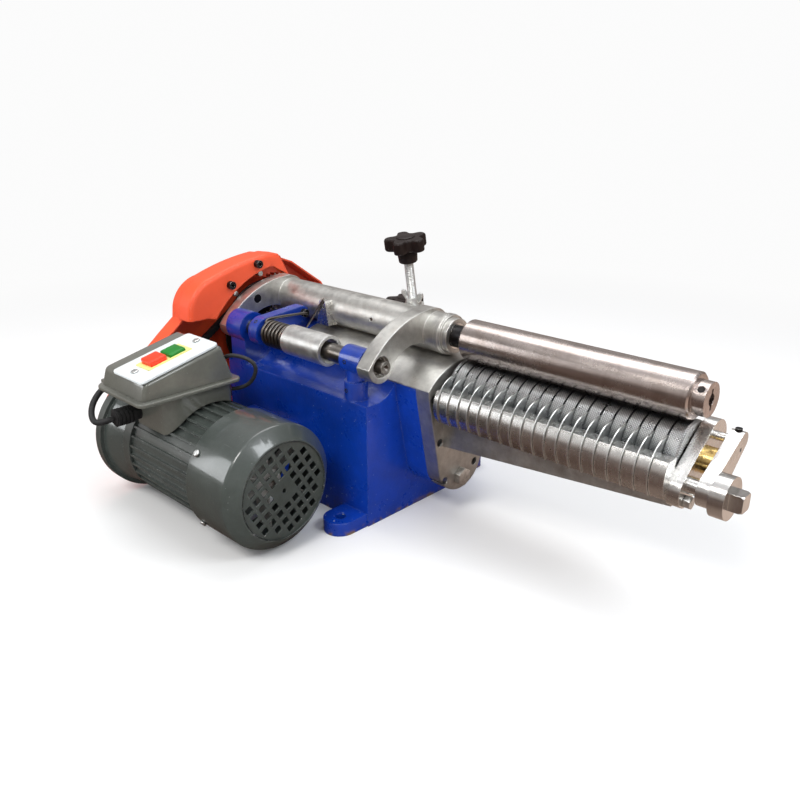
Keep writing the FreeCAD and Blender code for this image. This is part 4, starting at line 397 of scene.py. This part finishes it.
SLOT_MATERIALS = {
    "blue_paint": blue_paint(),
    "orange_paint": orange_paint(),
    "motor_paint": motor_paint("motor_paint", (0.046, 0.056, 0.051), 0.28),
    "box_paint": motor_paint("box_paint", (0.110, 0.112, 0.094), 0.34),
    "cast_aluminium": cast_aluminium(),
    "machined_aluminium": turned("machined_aluminium", (0.74, 0.73, 0.71), 0.24, dirt=0.22),
    "polished_roller": polished_roller(),
    "knurled_roller": knurled(),
    "steel": turned("ground_steel", (0.70, 0.69, 0.67), 0.20, dirt=0.16),
    "zinc": zinc("zinc_plate", (0.72, 0.73, 0.72)),
    "spring_steel": turned("spring_steel", (0.20, 0.17, 0.145), 0.34, dirt=0.5, depth=0.01),
    "black_oxide": turned("black_oxide", (0.035, 0.034, 0.036), 0.36, dirt=0.2, depth=0.01),
    "pulley_iron": turned("pulley_iron", (0.10, 0.095, 0.09), 0.42, dirt=0.4),
    "brass": turned("turned_brass", (0.86, 0.62, 0.24), 0.22, dirt=0.2),
    "bakelite": plastic("bakelite", (0.011, 0.005, 0.004), 0.40, 1.2, 0.03, 0.04, shine=0.22),
    "cover_plate": plastic("cover_plate", (0.72, 0.76, 0.77), 0.42, 1.0, 0.2),
    "bezel_yellow": plastic("bezel_yellow", (0.86, 0.79, 0.28), 0.35, 0.4, 0.15),
    "button_red": plastic("button_red", (0.84, 0.050, 0.012), 0.28, 0.9, 0.10, shine=0.35),
    "button_green": plastic("button_green", (0.006, 0.20, 0.018), 0.28, 0.9, 0.10, shine=0.35),
    "belt_rubber": rubber("belt_rubber"),
    "cable_rubber": rubber("cable_rubber"),
    "fan_plastic": plastic("fan_plastic", (0.52, 0.50, 0.47), 0.45, 0.5, 0.4),
}

# A few nodes look different from the rest of their slot.
NODE_MATERIALS = {
    "stripper_fins": fin_steel(),
    "spring_sleeve": cast_aluminium("sleeve_aluminium", (0.76, 0.76, 0.74), 0.5),
    "hinge_shaft": turned("oiled_shaft", (0.26, 0.24, 0.22), 0.30, dirt=0.5, depth=0.01),
    "torsion_spring": turned("oiled_spring", (0.13, 0.12, 0.11), 0.30, dirt=0.5, depth=0.01),
    "flange_bolt": zinc("bolt_plate", (0.86, 0.87, 0.85)),
}


def material_of(node):
    """A node's own material, or else its slot's."""
    return NODE_MATERIALS.get(node) or SLOT_MATERIALS[SLOT_OF[node]]


def dress_nodes():
    """Give every carried-over node its material."""
    for node in SLOT_OF:
        NODES[node].data.materials.clear()
        NODES[node].data.materials.append(material_of(node))


# ---- shapes -----------------------------------------------------------------------------

SMOOTH_BELOW = radians(34)  # bends sharper than this stay hard edges
SOFTEN_ABOVE = radians(25)  # bends sharper than this count as edges to round


def box_mm(node):
    """A node's lowest and highest corner in millimetres."""
    low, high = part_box(node)
    return low / MM, high / MM


def add_piece(name, shape, node, body=None):
    """Turn a bmesh into a piece made like a node and riding on its body, or on another one."""
    for face in shape.faces:
        face.smooth = True
    for edge in shape.edges:
        edge.smooth = len(edge.link_faces) == 2 and edge.calc_face_angle(0) < SMOOTH_BELOW
    mesh = bpy.data.meshes.new(name)
    shape.to_mesh(mesh)
    shape.free()
    piece = bpy.data.objects.new(name, mesh)
    bpy.context.scene.collection.objects.link(piece)
    mesh.materials.append(material_of(node))
    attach(piece, body or BODY_OF[node])
    return piece


def copy_of(node):
    """The node's solid as one welded bmesh with flat faces merged."""
    shape = bmesh.new()
    shape.from_mesh(NODES[node].data)
    bmesh.ops.remove_doubles(shape, verts=shape.verts, dist=0.002 * MM)
    bmesh.ops.dissolve_limit(shape, angle_limit=radians(1), verts=shape.verts, edges=shape.edges)
    return shape


def round_edges(shape, test, width, segments):
    """Round the sharp edges whose middle, in millimetres, passes the test."""
    chosen = []
    for edge in shape.edges:
        if len(edge.link_faces) != 2 or edge.calc_face_angle(0) < SOFTEN_ABOVE:
            continue
        if test((edge.verts[0].co + edge.verts[1].co) / 2 / MM, edge):
            chosen.append(edge)
    bmesh.ops.bevel(shape, geom=chosen, offset=width * MM, offset_type="OFFSET", segments=segments,
                    profile=0.5, affect="EDGES", clamp_overlap=False)


def softened(name, node, *rounds):
    """A piece that stands for one node, with edges rounded by (test, width, segments)."""
    shape = copy_of(node)
    for test, width, segments in rounds:
        round_edges(shape, test, width, segments)
    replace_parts(add_piece(name, shape, node), node)


def near(value, target, reach=0.2):
    return abs(value - target) < reach


def heading(edge):
    """The direction an edge runs in."""
    return (edge.verts[0].co - edge.verts[1].co).normalized()


def every_edge(middle, edge):
    """The test for rounding a piece all over."""
    return True


def guards():
    """Belt guard halves with the soft corners of formed sheet."""
    hood_low, hood_high = box_mm("upper_guard")
    back = box_mm("lower_guard")[0].x

    def hood_rim(middle, edge):
        """The hood's outer edge, which faces up or towards the motor."""
        rim = [face.normal for face in edge.link_faces if abs(face.normal.x) < 0.5]
        outward = bool(rim) and (rim[0].z > 0.25 or rim[0].y < -0.6)
        return outward and near(middle.x, hood_high.x) and middle.z > hood_low.z + 1.5

    def back_rim(middle, edge):
        return near(middle.x, back)

    softened("upper_guard_sheet", "upper_guard", (hood_rim, 6.0, 6))
    softened("lower_guard_sheet", "lower_guard", (back_rim, 5.5, 5))


def wing_nut():
    """Wing nut whose longer edges are rounded."""
    softened("wing_nut_soft", "wing_nut", (lambda middle, edge: edge.calc_length() > 1.6 * MM, 0.7, 3))


def cowl():
    """Pressed fan cowl: its chamfer runs into sleeve and face with soft bends."""
    low, high = box_mm("fan_cowl")
    centre = (low + high) / 2
    radius = (high.z - low.z) / 2
    chamfer, deep = 13, 16

    def bend(middle, edge):
        reach = hypot(middle.y - centre.y, middle.z - centre.z)
        shoulder = reach > radius - 0.6 and high.x - deep < middle.x < high.x - 1
        nose = near(middle.x, high.x, 0.3) and near(reach, radius - chamfer, 0.7)
        return (shoulder or nose) and abs(heading(edge).x) < 0.1

    softened("fan_cowl_sheet", "fan_cowl", (bend, 1.5, 4))


def switch_box():
    """Cast switch box with rounded edges, its lip and neck, cover plate, bezel and buttons."""
    box_floor = box_mm("switch_housing")[0].z
    low, high = box_mm("switch_cover")

    def outside_well(middle, edge):
        """Every edge but the box's foot and the well under the cover."""
        well = low.x + 4 < middle.x < high.x - 4 and low.y + 6 < middle.y < high.y - 6
        return not well and middle.z > box_floor + 0.5

    def corner(middle, edge):
        """The cover's four upright corners."""
        outer = near(middle.x, low.x, 0.3) or near(middle.x, high.x, 0.3)
        return outer and abs(heading(edge).z) > 0.8

    def rim(middle, edge):
        """The cover's outline, not the openings inside it."""
        ends = near(middle.x, low.x, 5) or near(middle.x, high.x, 5)
        return ends or middle.y < low.y + 4 or middle.y > high.y - 4

    softened("switch_housing_soft", "switch_housing", (outside_well, 4.5, 5))
    softened("switch_base_soft", "switch_base", (every_edge, 1.3, 3))
    softened("switch_cover_soft", "switch_cover", (corner, 4.5, 6), (rim, 0.8, 3))
    softened("start_button_cap", "start_button", (every_edge, 1.6, 4))
    softened("stop_button_cap", "stop_button", (every_edge, 1.6, 4))
    softened("switch_bezel_soft", "switch_bezel", (every_edge, 0.45, 2))


def screw_heads():
    """Domed heads for the small screws and a chamfer on the hexagons."""
    for node, width in (("cover_screws", 0.9), ("cowl_screws", 1.2), ("flange_bolt", 0.7),
                        ("plate_nut", 0.7)):
        softened(node + "_domed", node, (every_edge, width, 3))


def skinned(rings):
    """A closed bmesh through rings of points, all of one count."""
    shape = bmesh.new()
    rings = [[shape.verts.new(point) for point in ring] for ring in rings]
    count = len(rings[0])
    for lower, upper in zip(rings, rings[1:]):
        for i in range(count):
            after = (i + 1) % count
            shape.faces.new((lower[i], lower[after], upper[after], upper[i]))
    shape.faces.new(list(reversed(rings[0])))
    shape.faces.new(rings[-1])
    return shape


def lean_of(axis):
    """The rotation that tips +Z onto an axis."""
    return Vector((0, 0, 1)).rotation_difference(Vector(axis)).to_matrix()


def circle(radius, points=48):
    """A round outline."""
    turns = [2 * pi * i / points for i in range(points)]
    return [(radius * cos(turn), radius * sin(turn)) for turn in turns]


def star(core, tip, lobes=5, points=120):
    """An outline of soft lobes between the core radius and the tip radius."""
    fullness = 1.45
    outline = []
    for i in range(points):
        turn = 2 * pi * i / points
        wave = sin(fullness * cos(lobes * turn)) / sin(fullness)
        reach = (core + tip) / 2 + (tip - core) / 2 * wave
        outline.append((reach * cos(turn), reach * sin(turn)))
    return outline


def lofted(name, levels, outline, origin, axis, node, body=None):
    """A piece lofted along an axis through levels of (height, inset from the outline)."""
    lean = lean_of(axis)
    rings = []
    for height, inset in levels:
        ring = []
        for x, y in outline:
            shrink = (hypot(x, y) - inset) / hypot(x, y)
            ring.append(origin + lean @ Vector((x * shrink, y * shrink, height)) * MM)
        rings.append(ring)
    return add_piece(name, skinned(rings), node, body)


def rounded_slab(low, high, radius, steps=5):
    """Levels of a slab whose two rims are rounded."""
    turns = [i / steps * pi / 2 for i in range(steps + 1)]
    levels = [(low + radius * (1 - cos(turn)), radius * (1 - sin(turn))) for turn in turns]
    levels += [(high - radius * (1 - sin(turn)), radius * (1 - cos(turn))) for turn in turns]
    return levels


def line_of(joint):
    """A point on a joint's axis, and the axis."""
    return Vector(AXES[joint]["pos_m"]), Vector(AXES[joint]["axis"])


def reach_along(node, origin, axis):
    """Where a node starts and ends along an axis, in millimetres from the origin."""
    heights = [axis.dot(vertex.co - origin) / MM for vertex in NODES[node].data.vertices]
    return min(heights), max(heights)


def star_knob(node, joint):
    """Moulded star knob: rounded star, tapered hub and a disc in the crown for its metal insert, all in the knob's
    material.
    """
    origin, axis = line_of(joint)
    low, high = reach_along(node, origin, axis)
    middle = (low + high) / 2
    parts = (
        ("_star", rounded_slab(middle, high, 2.6), star(14.8, 22.3)),
        ("_hub", [(low, 1.0), (low + 1.0, 0.0), (middle + 3, -1.2)], circle(9.6)),
        ("_crown", [(high - 0.5, 0.0), (high + 0.5, 0.0), (high + 0.9, 0.5)], circle(9.5)),
    )
    for suffix, levels, outline in parts:
        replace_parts(lofted(node + suffix, levels, outline, origin, axis, node), node)


def threaded_rod():
    """The adjuster's screw, with a real helical thread between ear and knob."""
    origin, axis = line_of("gap_knob_turn")
    low, high = reach_along("adjuster_rod", origin, axis)
    crest, depth, pitch = 4.98, 0.75, 1.75
    points, steps = 28, 7
    lean = lean_of(axis)
    rings = []
    for level in range(int((high - low) / pitch * steps) + 1):
        height = low + level * pitch / steps
        ring = []
        for i in range(points):
            phase = (height / pitch - i / points) % 1.0
            reach = crest - depth * abs(2 * phase - 1)
            turn = 2 * pi * i / points
            point = Vector((reach * cos(turn), reach * sin(turn), min(height, high))) * MM
            ring.append(origin + lean @ point)
        rings.append(ring)
    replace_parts(add_piece("adjuster_thread", skinned(rings), "adjuster_rod"), "adjuster_rod")


def curve_through(points, steps=8):
    """A smooth Catmull-Rom path through some points."""
    path = []
    ends = [points[0]] + points + [points[-1]]
    for a, b, c, d in zip(ends, ends[1:], ends[2:], ends[3:]):
        for i in range(steps):
            t = i / steps
            path.append(0.5 * ((2 * b) + (c - a) * t + (2 * a - 5 * b + 4 * c - d) * t ** 2
                               + (3 * b - a - 3 * c + d) * t ** 3))
    path.append(points[-1])
    return path


def wire_rings(path, radius, sides=12):
    """Rings of a round wire along a path."""
    rings = []
    side = Vector((0, 0, 1))
    for i, point in enumerate(path):
        along = (path[min(i + 1, len(path) - 1)] - path[max(i - 1, 0)]).normalized()
        side = (side - along * side.dot(along)).normalized()
        other = along.cross(side)
        turns = [2 * pi * k / sides for k in range(sides)]
        rings.append([point + (side * cos(turn) + other * sin(turn)) * radius for turn in turns])
    return rings


def spring_leg():
    """The torsion spring's long leg, hooked over the lever's screw."""
    low, high = box_mm("torsion_spring")
    screw_low, screw_high = box_mm("lever_screw")
    screw = (screw_low + screw_high) / 2
    middle = (low.y + high.y) / 2
    wire = 1.5
    beside = screw_high.x + wire * 0.4
    bends = (
        Vector((low.x + 3, middle - 5, high.z - 2.2)),
        Vector((low.x + 1, middle + 4, high.z + 0.5)),
        Vector((beside, screw.y - 6, screw.z + 1)),
        Vector((beside, screw.y + 1, screw.z - 1)),
    )
    path = curve_through([bend * MM for bend in bends])
    leg = skinned(wire_rings(path, wire * MM))
    add_piece("spring_leg", leg, "torsion_spring", BODY_OF["lever_screw"])


def set_screws():
    """Sunk set screws in the front hinge boss, in its post and in the lever's ring."""
    hinge = line_of("arm_lift")[0] / MM
    lever_low, lever_high = box_mm("spring_lever")
    lever_ring = Vector(((lever_low.x + lever_high.x) / 2, hinge.y, hinge.z))
    boss_middle, boss_radius, post_front, post_drop = 84, 13.5, 11.9, 30
    front, up_front = Vector((0, -1, 0)), Vector((0, -0.62, 0.785))
    boss = Vector((boss_middle, hinge.y - boss_radius, hinge.z))
    post = Vector((boss_middle, hinge.y - post_front, hinge.z - post_drop))
    lever = lever_ring + up_front * (hinge.z - lever_low.z)
    spots = (
        ("boss", boss, front, "bed_casting"),
        ("post", post, front, "bed_casting"),
        ("lever", lever, up_front, "spring_lever"),
    )
    socket = [(-1.0, 0.0), (0.15, 0.0), (0.25, 0.15), (0.25, 1.0), (-0.9, 1.15)]
    for name, spot, facing, host in spots:
        lofted("set_screw_" + name, socket, circle(2.3, 24), spot * MM, facing, "lever_screw",
               BODY_OF[host])


# ---- stage ------------------------------------------------------------------------------

BACKDROP = (0.97, 0.97, 0.97, 1.0)
FLOOR = (0.90, 0.90, 0.90, 1.0)
BENCH_NEAR, BENCH_FAR = (0.070, 0.040, 0.028, 1.0), (0.52, 0.40, 0.33, 1.0)
ROOM = (0.52, 0.52, 0.53, 1.0)


def floor_material():
    """Pale floor that fades into the backdrop; shiny surfaces see it as a warm dark bench."""
    material = bpy.data.materials.new("pale_floor")
    material.use_nodes = True
    nodes = Nodes(material.node_tree)
    shader = material.node_tree.nodes["Principled BSDF"]
    shader.inputs["Roughness"].default_value = 0.9
    ray = nodes.node("ShaderNodeLightPath")
    place = nodes.node("ShaderNodeTexCoord").outputs["Object"]
    across = nodes.pair("ShaderNodeVectorMath", "DOT_PRODUCT", place, (1, 1, 0)).outputs["Value"]
    bench = nodes.mix(nodes.level(across, 0.15, 0.65), BENCH_NEAR, BENCH_FAR)
    nodes.feed(shader.inputs["Base Color"], nodes.mix(ray.outputs["Is Glossy Ray"], FLOOR, bench))
    reach = nodes.node("ShaderNodeVectorMath", {"operation": "LENGTH"})
    nodes.feed(reach.inputs[0], place)
    fade = nodes.node("ShaderNodeMapRange", {"interpolation_type": "SMOOTHSTEP"},
                      Value=reach.outputs["Value"], From_Min=0.45, From_Max=1.3)
    glow = nodes.node("ShaderNodeEmission", Color=BACKDROP)
    join = nodes.node("ShaderNodeMixShader")
    nodes.feed(join.inputs[0], nodes.both(fade.outputs["Result"], ray.outputs["Is Camera Ray"]))
    nodes.feed(join.inputs[1], shader.outputs["BSDF"])
    nodes.feed(join.inputs[2], glow.outputs["Emission"])
    nodes.feed(material.node_tree.nodes["Material Output"].inputs["Surface"], join.outputs["Shader"])
    return material


def floor():
    """A floor so wide that its rim is out of sight."""
    half = 12.0
    mesh = bpy.data.meshes.new("floor")
    corners = [(-half, -half, 0), (half, -half, 0), (half, half, 0), (-half, half, 0)]
    mesh.from_pydata(corners, [], [(0, 1, 2, 3)])
    mesh.materials.append(floor_material())
    plane = bpy.data.objects.new("floor", mesh)
    bpy.context.scene.collection.objects.link(plane)


def area_light(name, place, size, power, colour=(1, 1, 1)):
    """A soft box aimed at the middle of the machine."""
    light = bpy.data.lights.new(name, "AREA")
    light.shape = "RECTANGLE"
    light.size, light.size_y = size
    light.energy = power
    light.color = colour
    lamp = bpy.data.objects.new(name, light)
    bpy.context.scene.collection.objects.link(lamp)
    lamp.location = place
    aim = Vector((0.05, -0.02, 0.12)) - Vector(place)
    lamp.rotation_euler = aim.to_track_quat("-Z", "Y").to_euler()


def lights():
    """Soft boxes in front, above and at both sides."""
    area_light("key", (0.35, -1.35, 1.55), (0.9, 0.55), 20, (1.0, 0.985, 0.96))
    area_light("top", (-0.25, 0.35, 1.6), (1.5, 0.8), 10)
    area_light("right", (1.35, 0.0, 1.35), (0.8, 0.5), 11, (0.93, 0.97, 1.0))
    area_light("left", (-1.3, -1.5, 0.7), (0.4, 0.9), 6, (0.95, 0.98, 1.0))


def room():
    """Pale backdrop; shiny parts see a darker room with a bright ceiling instead."""
    world = bpy.data.worlds.new("studio")
    world.use_nodes = True
    nodes = Nodes(world.node_tree)
    ray = nodes.node("ShaderNodeLightPath")
    place = nodes.node("ShaderNodeTexCoord").outputs["Generated"]
    up = nodes.node("ShaderNodeSeparateXYZ", Vector=place).outputs["Z"]
    ramp = nodes.node("ShaderNodeValToRGB", Fac=nodes.level(up, -1.0, 1.0))
    stops = (
        (0.0, (0.030, 0.020, 0.016)),
        (0.47, (0.055, 0.038, 0.030)),
        (0.53, (0.28, 0.225, 0.20)),
        (0.62, (0.46, 0.43, 0.42)),
        (0.78, (0.30, 0.29, 0.285)),
        (1.0, (1.0, 1.0, 1.03)),
    )
    while len(ramp.color_ramp.elements) < len(stops):
        ramp.color_ramp.elements.new(0.5)
    for element, (height, colour) in zip(ramp.color_ramp.elements, stops):
        element.position = height
        element.color = opaque(colour)
    mirrored = nodes.mix(ray.outputs["Is Glossy Ray"], ROOM, ramp.outputs["Color"])
    seen = nodes.mix(ray.outputs["Is Camera Ray"], mirrored, BACKDROP)
    nodes.feed(world.node_tree.nodes["Background"].inputs["Color"], seen)
    bpy.context.scene.world = world
    bpy.context.scene.view_settings.view_transform = "Standard"


def camera():
    """A level camera looking down on the free ends of the rollers."""
    lens = bpy.data.cameras.new("camera")
    lens.lens = 36
    lens.sensor_width = 36
    lens.clip_start = 0.01
    eye = bpy.data.objects.new("camera", lens)
    bpy.context.scene.collection.objects.link(eye)
    turn, tilt = radians(43.6), radians(20.8)
    ahead = Vector((-sin(turn) * cos(tilt), cos(turn) * cos(tilt), -sin(tilt)))
    eye.location = (0.6285, -0.5779, 0.4093)
    eye.rotation_euler = ahead.to_track_quat("-Z", "Y").to_euler()
    bpy.context.scene.camera = eye


dress_nodes()
guards()
star_knob("adjuster_knob", "gap_knob_turn")
star_knob("rear_knob", "rear_knob_turn")
threaded_rod()
wing_nut()
cowl()
switch_box()
screw_heads()
spring_leg()
set_screws()
floor()
lights()
room()
camera()
